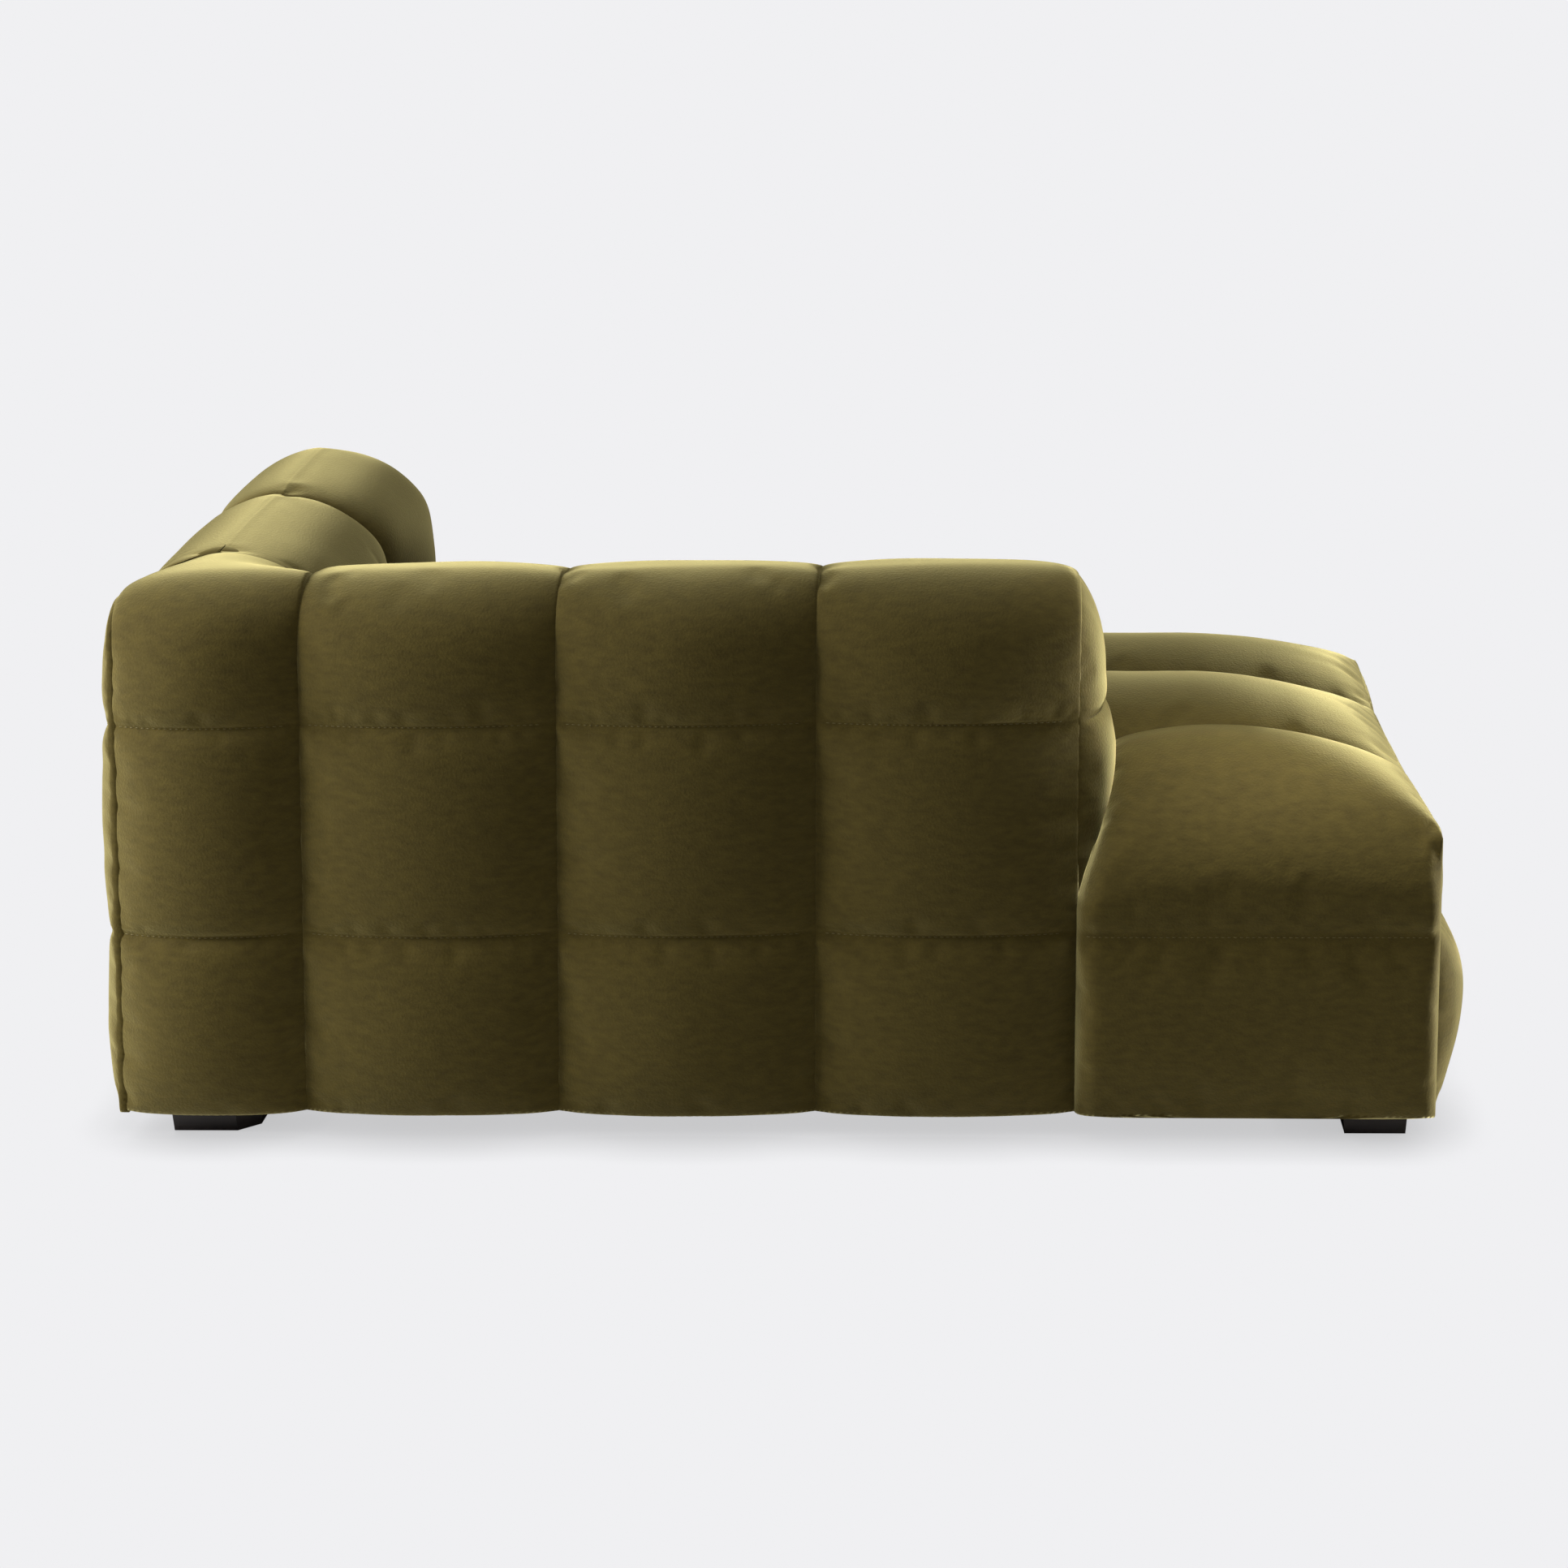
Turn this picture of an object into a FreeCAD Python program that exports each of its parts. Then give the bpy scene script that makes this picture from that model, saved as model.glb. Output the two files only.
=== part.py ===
import FreeCAD, Part
import math
import os

# A channel-quilted velvet chaise with one arm.
# Frame: millimetres, origin on the floor under the middle of the chaise, +X towards the foot end,
# -X towards the back rest, -Y towards the arm, +Z up.

doc = FreeCAD.newDocument("Chaise")
sheet = doc.addObject("Spreadsheet::Sheet", "Sizes")

DIMENSIONS = {
    # whole chaise
    "total_length": 1680, "total_width": 1050, "clearance": 0.3,
    # upholstery: how far the padding swells past its seams, and its depth behind them
    "end_bulge": 46, "side_bulge": 35, "inner_bulge": 25, "hem_bulge": 12, "stitch_depth": 17,
    "seam_fullness": 3, "pad_backing": 26, "inner_padding": 50, "arm_cap_bulge": 50, "cap_lip": 5,
    "upper_bulge": 14,
    # heights of hem, stitch lines, crests and seat
    "hem_height": 34, "stitch_low": 267, "stitch_high": 528, "arm_height": 708, "back_height": 726,
    "shoulder_drop": 34, "shoulder_inset": 10, "seam_dip": 6, "crest_inset": 85,
    "seat_height": 484, "seat_rear_height": 462, "seat_seam_height": 390, "channel_depth": 52,
    "crown_setback": 250,
    # channel widths along the arm and across the seat and back
    "corner_length": 229, "arm_channel_length": 310, "middle_channel_width": 375,
    # carcass
    "base_bottom": 46, "rail_height": 134, "rail_thickness": 28,
    "block_length": 105, "block_width": 120, "block_height": 62,
    "arm_core_width": 164, "back_core_depth": 138,
    "board_thickness": 28, "panel_thickness": 6, "top_foam": 30, "top_padding": 48,
    # seat suspension
    "strap_width": 60, "strap_thickness": 2, "strap_pitch": 125, "felt_thickness": 6, "seat_foam": 122,
    # underside and feet
    "cover_thickness": 1.2, "foot_length": 111, "foot_width": 80, "foot_chamfer": 31, "foot_taper": 3,
    "foot_inset": 2, "glide_diameter": 44, "glide_thickness": 3, "glide_proud": 1,
    "bolt_diameter": 8, "bolt_head_diameter": 20, "bolt_head": 4,
    "nut_diameter": 22, "nut_flange": 2, "nut_barrel": 11, "nut_depth": 9,
    "frame_bolt_diameter": 6, "frame_bolt_head": 14, "frame_bolt_reach": 45, "washer_thickness": 1.5,
}

for row, (name, amount) in enumerate(DIMENSIONS.items(), start=1):
    sheet.set(f"A{row}", name)
    sheet.set(f"B{row}", str(amount))
    sheet.setAlias(f"B{row}", name)
doc.recompute()


class Size:
    """A length with its number and the sheet expression that it comes from."""

    def __init__(self, number, text):
        self.number = number
        self.text = text

    def join(self, other, sign, result):
        return Size(result, f"({self.text} {sign} {as_size(other).text})")

    def __add__(self, other):
        return self.join(other, "+", self.number + as_size(other).number)

    def __sub__(self, other):
        return self.join(other, "-", self.number - as_size(other).number)

    def __mul__(self, other):
        return self.join(other, "*", self.number * as_size(other).number)

    def __truediv__(self, other):
        return self.join(other, "/", self.number / as_size(other).number)

    def __neg__(self):
        return Size(-self.number, f"(-{self.text})")


def as_size(value):
    return value if isinstance(value, Size) else Size(value, str(value))


def number(name):
    return float(sheet.get(name))


def size(name):
    return Size(number(name), f"Sizes.{name}")


# Planes of the seams and of the carcass, all from the sheet
HEM = size("hem_height")
BACK_SEAM = size("end_bulge") - size("total_length") / 2
FOOT_SEAM = size("total_length") / 2 - size("end_bulge")
NEAR_SEAM = size("side_bulge") - size("total_width") / 2
FAR_SEAM = size("total_width") / 2 - size("side_bulge")
BASE_BACK = BACK_SEAM + size("pad_backing")
BASE_FOOT = FOOT_SEAM - size("pad_backing")
BASE_NEAR = NEAR_SEAM + size("pad_backing")
BASE_FAR = FAR_SEAM - size("pad_backing")
ARM_CORE_IN = BASE_NEAR + size("arm_core_width")
BACK_CORE_IN = BASE_BACK + size("back_core_depth")
ARM_INNER = ARM_CORE_IN + size("inner_padding")
BACK_INNER = BACK_CORE_IN + size("inner_padding")
ARM_SEAMS = [BACK_SEAM + size("corner_length") + size("arm_channel_length") * i for i in range(4)]
ARM_FRONT = ARM_SEAMS[3]
FIRST_SEAM = ARM_INNER + size("inner_bulge") + size("clearance")
SECOND_SEAM = FIRST_SEAM + size("middle_channel_width")
SEAT_BACK = BACK_INNER + size("inner_bulge") + size("clearance")
BASE_BOTTOM = size("base_bottom")
BASE_TOP = BASE_BOTTOM + size("rail_height")
FELT_BOTTOM = BASE_TOP + size("strap_thickness")
FOAM_BOTTOM = FELT_BOTTOM + size("felt_thickness")
FOAM_TOP = FOAM_BOTTOM + size("seat_foam")
ARM_CORE_TOP = size("arm_height") - size("top_padding")
BACK_CORE_TOP = size("back_height") - size("top_padding")

subparts = []


def keep(label, piece):
    """Names a finished sub-part and puts it on the list of pieces to write."""
    piece.Label = label
    subparts.append(piece)
    return piece


def box(name, x, y, z):
    """A box between two planes on each axis, bound to the sheet."""
    solid = doc.addObject("Part::Box", name)
    for side, (low, high) in zip(("Length", "Width", "Height"), (x, y, z)):
        solid.setExpression(side, (high - low).text)
    for axis, (low, high) in zip("xyz", (x, y, z)):
        solid.setExpression(f"Placement.Base.{axis}", low.text)
    return solid


def upright(name, x, y, z, diameter):
    """A vertical round bar or bore between two heights, bound to the sheet."""
    solid = doc.addObject("Part::Cylinder", name)
    solid.setExpression("Radius", (diameter / 2).text)
    solid.setExpression("Height", (z[1] - z[0]).text)
    for axis, value in zip("xyz", (x, y, z[0])):
        solid.setExpression(f"Placement.Base.{axis}", value.text)
    return solid


def fused(name, *pieces):
    joined = doc.addObject("Part::MultiFuse", name)
    joined.Shapes = list(pieces)
    return joined


def cut(name, base, *tools):
    result = doc.addObject("Part::Cut", name)
    result.Base = base
    result.Tool = tools[0] if len(tools) == 1 else fused(name + "_tools", *tools)
    return result


def group(label, pieces):
    """Identical small pieces kept together as one node of separate solids."""
    together = doc.addObject("Part::Compound", label)
    together.Links = pieces
    return keep(label, together)


def block(label, x, y, z):
    return keep(label, box(label, x, y, z))


# Soft forms are lofts through lines and shallow arcs

def bow(start, end, rise, towards):
    """A shallow arc whose middle stands out from its chord by the rise."""
    middle = (start + end) * 0.5 + FreeCAD.Vector(*towards) * rise
    return Part.Arc(start, middle, end).toShape()


def run(start, end):
    return Part.LineSegment(start, end).toShape()


def loft(sections, ruled=False):
    return Part.makeLoft(sections, True, ruled)


def solid_box(x, y, z):
    low = FreeCAD.Vector(x[0].number, y[0].number, z[0].number)
    high = FreeCAD.Vector(x[1].number, y[1].number, z[1].number)
    span = high - low
    return Part.makeBox(span.x, span.y, span.z, low)


# Steps of the levels in one padded tier or rounded edge
TIER_STEPS = 5


def soft(label, shape):
    piece = doc.addObject("Part::Feature", label)
    piece.Shape = shape
    return keep(label, piece)


# Where a channel is pinched by its seams and where it is full: share of its width, share of fullness
CHANNEL_STATIONS = ((0.0, 0.0), (0.16, 0.78), (0.5, 1.0), (0.84, 0.78), (1.0, 0.0))


def wrap_section(point, outward, full, bulge, thickness, core, crest, core_top):
    """Section of a channel that goes up the outside, over the top and down the inside of a wall.

    point(u, z) places a point u inside the outer seam plane; full runs from 0 at a seam to 1.
    """
    pinch = number("seam_fullness")
    swell = bulge.number * full
    stitch_in = -max(bulge.number - number("stitch_depth"), 0) * full
    hem_in = -number("hem_bulge") * full
    shoulder = number("shoulder_inset")
    drop = number("shoulder_drop")
    top = crest.number - number("seam_dip") * (1 - full)
    inner = thickness.number
    backing = number("pad_backing")
    corners = [
        (hem_in, HEM.number), (stitch_in, number("stitch_low")),
        (stitch_in, number("stitch_high")), (shoulder, top - drop),
        (inner - shoulder, top - drop), (inner, FOAM_TOP.number),
        (core.number, FOAM_TOP.number), (core.number, core_top.number),
        (backing, core_top.number), (backing, HEM.number),
    ]
    spots = [point(u, z) for u, z in corners]
    inward = [-value for value in outward]
    rises = [max(swell + (corners[i][0] + corners[i + 1][0]) / 2, 0) + pinch * (1 - full)
             for i in range(3)]
    edges = [bow(spots[i], spots[i + 1], rises[i], outward) for i in range(3)]
    edges.append(bow(spots[3], spots[4], drop, (0, 0, 1)))
    edges.append(bow(spots[4], spots[5], number("inner_bulge") * full * 0.8 + pinch, inward))
    edges += [run(spots[i], spots[(i + 1) % len(spots)]) for i in range(5, len(spots))]
    return Part.Wire(edges)


def arm_channel(label, start, end):
    def section(share, full):
        x = start.number + (end - start).number * share
        return wrap_section(lambda u, z: FreeCAD.Vector(x, NEAR_SEAM.number + u, z), (0, -1, 0), full,
                            size("side_bulge"), ARM_INNER - NEAR_SEAM, ARM_CORE_IN - NEAR_SEAM,
                            size("arm_height"), ARM_CORE_TOP)
    soft(label, loft([section(share, full) for share, full in CHANNEL_STATIONS]))


def back_channel(label, start, end):
    def section(share, full):
        y = start.number + (end - start).number * share
        return wrap_section(lambda u, z: FreeCAD.Vector(BACK_SEAM.number + u, y, z), (-1, 0, 0), full,
                            size("end_bulge"), BACK_INNER - BACK_SEAM, BACK_CORE_IN - BACK_SEAM,
                            size("back_height"), BACK_CORE_TOP)
    soft(label, loft([section(share, full) for share, full in CHANNEL_STATIONS]))


def tier(low, high, low_bulge, high_bulge, bulge):
    """Levels of one padded tier between two seams: height, fullness and inset from the sides."""
    levels = []
    for i in range(TIER_STEPS):
        share = i / TIER_STEPS
        edge = low_bulge + (high_bulge - low_bulge) * share
        swell = (bulge - (low_bulge + high_bulge) / 2) * math.sin(math.pi * share)
        levels.append((low + (high - low) * share, edge + swell, 0))
    return levels


def wall_levels(bulge, crest):
    """Levels of a padded face that two stitch lines divide, from hem to shoulder."""
    low = number("stitch_low")
    high = number("stitch_high")
    shoulder = crest - number("shoulder_drop")
    held = max(bulge - number("stitch_depth"), number("hem_bulge"))
    levels = tier(HEM.number, low, number("hem_bulge"), held, bulge)
    levels += tier(low, high, held, held, bulge)
    return levels + tier(high, shoulder, held, number("hem_bulge"), bulge) + rounded_top(crest)


def border_levels(bulge):
    """Levels of a border that one stitch line divides, from hem to seat seam."""
    low = number("stitch_low")
    seam = number("seat_seam_height")
    upper = number("upper_bulge")
    levels = tier(HEM.number, low, number("hem_bulge"), upper, bulge)
    levels += tier(low, seam, upper, number("seam_fullness"), upper)
    return levels + [(seam, number("seam_fullness"), 0)]


def rounded_top(crest):
    """Levels where a padded wall rounds over in a quarter turn, drawing in from its sides."""
    drop = number("shoulder_drop")
    reach = number("crest_inset")
    levels = []
    for i in range(TIER_STEPS + 1):
        turn = math.pi / 2 * i / TIER_STEPS
        bulge = number("hem_bulge") * math.cos(turn) + number("seam_fullness")
        levels.append((crest - drop + drop * math.sin(turn), bulge, reach * (1 - math.cos(turn))))
    return levels


def border(place, outward, along, back, lip, levels):
    """A padded border or end cap: flat back and sides, and a face that swells between its seams."""
    sections = []
    for height, bulge, inset in levels:
        start = along[0] + inset
        end = along[1] - inset
        corners = [
            place(start, back, height), place(start, back + lip, height),
            place(end, back + lip, height), place(end, back, height),
        ]
        sections.append(Part.Wire([
            run(corners[0], corners[1]), bow(corners[1], corners[2], bulge, outward),
            run(corners[2], corners[3]), run(corners[3], corners[0]),
        ]))
    return loft(sections, ruled=True)


def facing_foot(along, out, height):
    return FreeCAD.Vector(out, along, height)


def facing_far(along, out, height):
    return FreeCAD.Vector(along, out, height)


def facing_near(along, out, height):
    return FreeCAD.Vector(along, -out, height)


def arm_cap_levels():
    """Levels of the pad on the arm's front end, from the seat seam over its shoulder."""
    seam = number("seat_seam_height")
    high = number("stitch_high")
    shoulder = number("arm_height") - number("shoulder_drop")
    bulge = number("arm_cap_bulge")
    held = bulge - number("stitch_depth")
    levels = tier(seam, high, held, held, bulge) + tier(high, shoulder, held, number("hem_bulge"), held)
    return levels + rounded_top(number("arm_height"))


# Arm: three channels over its wall, and the pad on its front end
for place, (start, end) in zip(("rear", "middle", "front"), zip(ARM_SEAMS, ARM_SEAMS[1:])):
    arm_channel(f"arm_channel_{place}", start, end)
soft("arm_front_cap", border(
    facing_foot, (1, 0, 0), (NEAR_SEAM.number, ARM_INNER.number), ARM_FRONT.number, number("cap_lip"),
    arm_cap_levels(),
))

# Back: two channels over its wall, and the pad on its far end
back_channel("back_channel_middle", FIRST_SEAM, SECOND_SEAM)
back_channel("back_channel_far", SECOND_SEAM, BASE_FAR)
soft("back_end_cap", border(
    facing_far, (0, 1, 0), (BACK_SEAM.number, BACK_INNER.number), BASE_FAR.number, number("pad_backing"),
    wall_levels(number("side_bulge"), number("back_height")),
))


# Corner: the quilted post where arm and back meet, hollowed for both walls and the seat core

def corner_section(height, side, end, inset):
    left = BACK_SEAM.number + inset
    right = ARM_SEAMS[0].number
    near = NEAR_SEAM.number + inset
    far = FIRST_SEAM.number
    spots = [FreeCAD.Vector(x, y, height) for x, y in ((right, near), (left, near), (left, far), (right, far))]
    return Part.Wire([
        bow(spots[0], spots[1], side, (0, -1, 0)), bow(spots[1], spots[2], end, (-1, 0, 0)),
        run(spots[2], spots[3]), run(spots[3], spots[0]),
    ])


side_levels = wall_levels(number("side_bulge"), number("arm_height"))
end_levels = wall_levels(number("end_bulge"), number("arm_height"))
corner_post = loft([
    corner_section(height, side, end, inset)
    for (height, side, inset), (height, end, inset) in zip(side_levels, end_levels)
], ruled=True)
floor_plane = as_size(0)
soft("corner_channel", corner_post.cut([
    solid_box((BASE_BACK, BACK_CORE_IN), (BASE_NEAR, BASE_FAR), (floor_plane, BACK_CORE_TOP)),
    solid_box((BASE_BACK, ARM_FRONT), (BASE_NEAR, ARM_CORE_IN), (floor_plane, ARM_CORE_TOP)),
    solid_box((BASE_BACK, BASE_FOOT), (BASE_NEAR, BASE_FAR), (floor_plane, FOAM_TOP)),
]))


# Seat: three long channels whose crowns roll down to a pinched seam at the foot end

# Stations of the roll at the foot end, as shares of its setback from the seam
SEAT_ROLL = (1.0, 0.8, 0.6, 0.42, 0.27, 0.15, 0.07, 0.02, 0.0)


def seat_channel(start, near, far, near_seam, far_seam):
    """A crowned channel along X; each edge is an outer seam (True) or a valley to its neighbour."""
    seam = number("seat_seam_height")
    rise = number("seat_height") - seam
    valley_share = (rise - number("channel_depth")) / rise
    crowns = [(start, number("seat_rear_height"))]
    for share in SEAT_ROLL:
        roll = math.sqrt(1 - (1 - share) ** 2)
        crowns.append((BASE_FOOT.number - number("crown_setback") * share, seam + rise * roll))
    sections = []
    for x, crown in crowns:
        valley = seam + (crown - seam) * valley_share
        left = seam if near_seam else valley
        right = seam if far_seam else valley
        spots = [FreeCAD.Vector(x, y, z) for y, z in
                 ((near, FOAM_TOP.number), (near, left), (far, right), (far, FOAM_TOP.number))]
        lift = crown - (left + right) / 2 + number("seam_fullness")
        sections.append(Part.Wire([
            run(spots[0], spots[1]), bow(spots[1], spots[2], lift, (0, 0, 1)),
            run(spots[2], spots[3]), run(spots[3], spots[0]),
        ]))
    return loft(sections, ruled=True)


cap_front = ARM_FRONT + size("cap_lip") + size("arm_cap_bulge") + size("clearance")
soft("seat_channel_near", seat_channel(cap_front.number, BASE_NEAR.number, FIRST_SEAM.number, True, False))
soft("seat_channel_middle", seat_channel(SEAT_BACK.number, FIRST_SEAM.number, SECOND_SEAM.number, False, False))
soft("seat_channel_far", seat_channel(SEAT_BACK.number, SECOND_SEAM.number, BASE_FAR.number, False, True))

# Borders below the seat seam: three at the foot end, one beside the seat, four along the far side
seat_seams = [NEAR_SEAM, FIRST_SEAM, SECOND_SEAM, FAR_SEAM]
for place, (start, end) in zip(("near", "middle", "far"), zip(seat_seams, seat_seams[1:])):
    soft(f"front_border_{place}", border(
        facing_foot, (1, 0, 0), (start.number, end.number), BASE_FOOT.number, number("pad_backing"),
        border_levels(number("end_bulge")),
    ))
soft("near_side_border", border(
    facing_near, (0, -1, 0), (ARM_FRONT.number, BASE_FOOT.number), -BASE_NEAR.number, number("pad_backing"),
    border_levels(number("side_bulge")),
))
far_seams = [BACK_INNER, ARM_SEAMS[1], ARM_SEAMS[2], ARM_FRONT, BASE_FOOT]
for place, (start, end) in enumerate(zip(far_seams, far_seams[1:]), start=1):
    soft(f"far_side_border_{place}", border(
        facing_far, (0, 1, 0), (start.number, end.number), BASE_FAR.number, number("pad_backing"),
        border_levels(number("side_bulge")),
    ))

# Base: four rails, three cross rails and a block behind each corner, on the feet
rail = size("rail_thickness")
base_height = (BASE_BOTTOM, BASE_TOP)
RAIL_NEAR = BASE_NEAR + rail
RAIL_FAR = BASE_FAR - rail
RAIL_BACK = BASE_BACK + rail
RAIL_FOOT = BASE_FOOT - rail
bolt_bore = size("frame_bolt_diameter") + size("clearance") * 2
board = size("board_thickness")
BOARD_TOP = BASE_TOP + board
BOLT_TIP = BOARD_TOP - size("frame_bolt_reach")

# Bolts that hold the arm and the back down on the rails: two on each side of a wall's middle post
arm_step = (ARM_FRONT - BACK_CORE_IN) / 6
arm_bolts = [(BACK_CORE_IN + arm_step * share, BASE_NEAR + rail / 2) for share in (1, 2, 4, 5)]
back_step = (BASE_FAR - BASE_NEAR) / 6
back_bolts = [(BASE_BACK + rail / 2, BASE_NEAR + back_step * share) for share in (1, 2, 4, 5)]


def bolted(label, solid, spots, heights):
    """A piece bored for the bolts that pass down through it."""
    bores = [upright(f"{label}_bore_{i}", x, y, heights, bolt_bore) for i, (x, y) in enumerate(spots)]
    keep(label, cut(label, solid, *bores))


bore_heights = (BOLT_TIP, BOARD_TOP + size("clearance"))
bolted("base_near_rail", box("near_rail_blank", (BASE_BACK, BASE_FOOT), (BASE_NEAR, RAIL_NEAR), base_height),
       arm_bolts, bore_heights)
bolted("base_back_rail", box("back_rail_blank", (BASE_BACK, RAIL_BACK), (RAIL_NEAR, RAIL_FAR), base_height),
       back_bolts, bore_heights)
block("base_far_rail", (BASE_BACK, BASE_FOOT), (RAIL_FAR, BASE_FAR), base_height)
block("base_front_rail", (RAIL_FOOT, BASE_FOOT), (RAIL_NEAR, RAIL_FAR), base_height)
middle_rail = (BACK_CORE_IN + ARM_FRONT) / 2
for place, start in zip(("rear", "middle", "front"), (BACK_CORE_IN, middle_rail, ARM_FRONT)):
    block(f"base_cross_rail_{place}", (start, start + rail), (RAIL_NEAR, RAIL_FAR), base_height)

# Walls: a bottom board, three posts, a top board, two thin panels and a strip of foam each

def wall(name, along, across, core_top, place, spots):
    """Wall frame of the arm or the back; place turns (along, across) into X and Y ranges."""
    foam_bottom = core_top - size("top_foam")
    top_board = foam_bottom - board
    between = (BOARD_TOP, top_board)
    panel = size("panel_thickness")
    bottom = box(f"{name}_bottom_blank", *place(along, across), (BASE_TOP, BOARD_TOP))
    bolted(f"{name}_bottom_board", bottom, spots, bore_heights)
    middle = (along[0] + along[1] - board) / 2
    inside = (across[0] + panel, across[1] - panel)
    for post, start in zip(("first", "middle", "last"), (along[0], middle, along[1] - board)):
        block(f"{name}_{post}_post", *place((start, start + board), inside), between)
    block(f"{name}_outer_panel", *place(along, (across[0], across[0] + panel)), between)
    block(f"{name}_inner_panel", *place(along, (across[1] - panel, across[1])), between)
    block(f"{name}_top_board", *place(along, across), (top_board, foam_bottom))
    block(f"{name}_top_foam", *place(along, across), (foam_bottom, core_top))


wall("arm", (BACK_CORE_IN, ARM_FRONT), (BASE_NEAR, ARM_CORE_IN), ARM_CORE_TOP,
     lambda along, across: (along, across), arm_bolts)
wall("back", (BASE_NEAR, BASE_FAR), (BASE_BACK, BACK_CORE_IN), BACK_CORE_TOP,
     lambda along, across: (across, along), back_bolts)

bolts = []
washers = []
head_bottom = BOARD_TOP + size("washer_thickness")
for i, (x, y) in enumerate(arm_bolts + back_bolts):
    shank = upright(f"frame_bolt_shank_{i}", x, y, (BOLT_TIP, head_bottom), size("frame_bolt_diameter"))
    head_heights = (head_bottom, head_bottom + size("frame_bolt_diameter") / 2)
    head = upright(f"frame_bolt_head_{i}", x, y, head_heights, size("frame_bolt_head") * 0.75)
    bolts.append(fused(f"frame_bolt_{i}", shank, head))
    disc = upright(f"washer_disc_{i}", x, y, (BOARD_TOP, head_bottom), size("frame_bolt_head"))
    eye = upright(f"washer_eye_{i}", x, y, (BOARD_TOP, head_bottom), bolt_bore)
    washers.append(cut(f"washer_{i}", disc, eye))
group("frame_bolts", bolts)
group("frame_washers", washers)

# Seat suspension and core: webbing, felt and foam, notched round the arm wall

straps = []
strap_height = (BASE_TOP, FELT_BOTTOM)


def lay_straps(start, near, far):
    count = int((far - near).number // number("strap_pitch"))
    step = (far - near) / max(count, 1)
    for i in range(max(count, 1)):
        middle = near + step * (i + 0.5)
        sides = (middle - size("strap_width") / 2, middle + size("strap_width") / 2)
        straps.append(box(f"strap_{len(straps)}", (start, BASE_FOOT), sides, strap_height))


lay_straps(BACK_CORE_IN, ARM_CORE_IN, BASE_FAR)
lay_straps(ARM_FRONT, BASE_NEAR, ARM_CORE_IN)
group("webbing_straps", straps)
for label, heights in (("seat_felt", (FELT_BOTTOM, FOAM_BOTTOM)), ("seat_foam_core", (FOAM_BOTTOM, FOAM_TOP))):
    sheet_blank = box(f"{label}_blank", (BACK_CORE_IN, BASE_FOOT), (BASE_NEAR, BASE_FAR), heights)
    notch = box(f"{label}_notch", (BACK_CORE_IN, ARM_FRONT), (BASE_NEAR, ARM_CORE_IN), heights)
    keep(label, cut(label, sheet_blank, notch))

# Feet: tapered blocks with one corner cut off, bolted up into tee nuts in the corner blocks
COVER_BOTTOM = BASE_BOTTOM - size("cover_thickness")
FOOT_BOTTOM = size("glide_proud")
GLIDE_TOP = size("glide_thickness")
HEAD_TOP = GLIDE_TOP + size("bolt_head")
BLOCK_TOP = BASE_BOTTOM + size("block_height")
NUT_BOTTOM = BLOCK_TOP - size("nut_depth")
NUT_TOP = BLOCK_TOP + size("nut_flange")
inset = size("foot_inset")
room = size("clearance") * 2


def foot(label, x, y, cut_corner):
    """A foot between two planes each way, wider at its top; cut_corner is the chamfered corner."""
    taper = size("foot_taper")
    wedge = doc.addObject("Part::Wedge", f"{label}_blank")
    wedge.Placement.Rotation = FreeCAD.Rotation(FreeCAD.Vector(1, 0, 0), 90)
    sides = {
        "Xmin": taper, "Xmax": x[1] - x[0] - taper, "X2min": as_size(0), "X2max": x[1] - x[0],
        "Zmin": taper, "Zmax": y[1] - y[0] - taper, "Z2min": as_size(0), "Z2max": y[1] - y[0],
        "Ymin": as_size(0), "Ymax": COVER_BOTTOM - FOOT_BOTTOM,
    }
    for side, value in sides.items():
        wedge.setExpression(side, value.text)
    for axis, value in zip("xyz", (x[0], y[1], FOOT_BOTTOM)):
        wedge.setExpression(f"Placement.Base.{axis}", value.text)
    chamfer = size("foot_chamfer")
    corner = doc.addObject("Part::Box", f"{label}_chamfer")
    corner.Placement.Rotation = FreeCAD.Rotation(FreeCAD.Vector(0, 0, 1), 45)
    for side in ("Length", "Width"):
        corner.setExpression(side, (chamfer * math.sqrt(2)).text)
    corner.setExpression("Height", COVER_BOTTOM.text)
    corner.setExpression("Placement.Base.x", cut_corner[0].text)
    corner.setExpression("Placement.Base.y", (cut_corner[1] - chamfer).text)
    middle = ((x[0] + x[1]) / 2, (y[0] + y[1]) / 2)
    seat = upright(f"{label}_seat", *middle, (FOOT_BOTTOM, GLIDE_TOP), size("glide_diameter") + room)
    recess = upright(f"{label}_recess", *middle, (GLIDE_TOP, HEAD_TOP), size("bolt_head_diameter") + room)
    bore = upright(f"{label}_bore", *middle, (HEAD_TOP, COVER_BOTTOM), size("bolt_diameter") + room)
    keep(label, cut(label, wedge, corner, seat, recess, bore))
    return middle


long_side = size("foot_length")
short_side = size("foot_width")
rear_x = (BASE_BACK + inset, BASE_BACK + inset + long_side)
front_x = (BASE_FOOT - inset - short_side, BASE_FOOT - inset)
near = BASE_NEAR + inset
far = BASE_FAR - inset
feet = {
    "rear_near": foot("foot_rear_near", rear_x, (near, near + short_side), (rear_x[1], near)),
    "rear_far": foot("foot_rear_far", rear_x, (far - short_side, far), (rear_x[1], far)),
    "front_near": foot("foot_front_near", front_x, (near, near + long_side), (front_x[1], near + long_side)),
    "front_far": foot("foot_front_far", front_x, (far - long_side, far), (front_x[1], far - long_side)),
}

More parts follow.
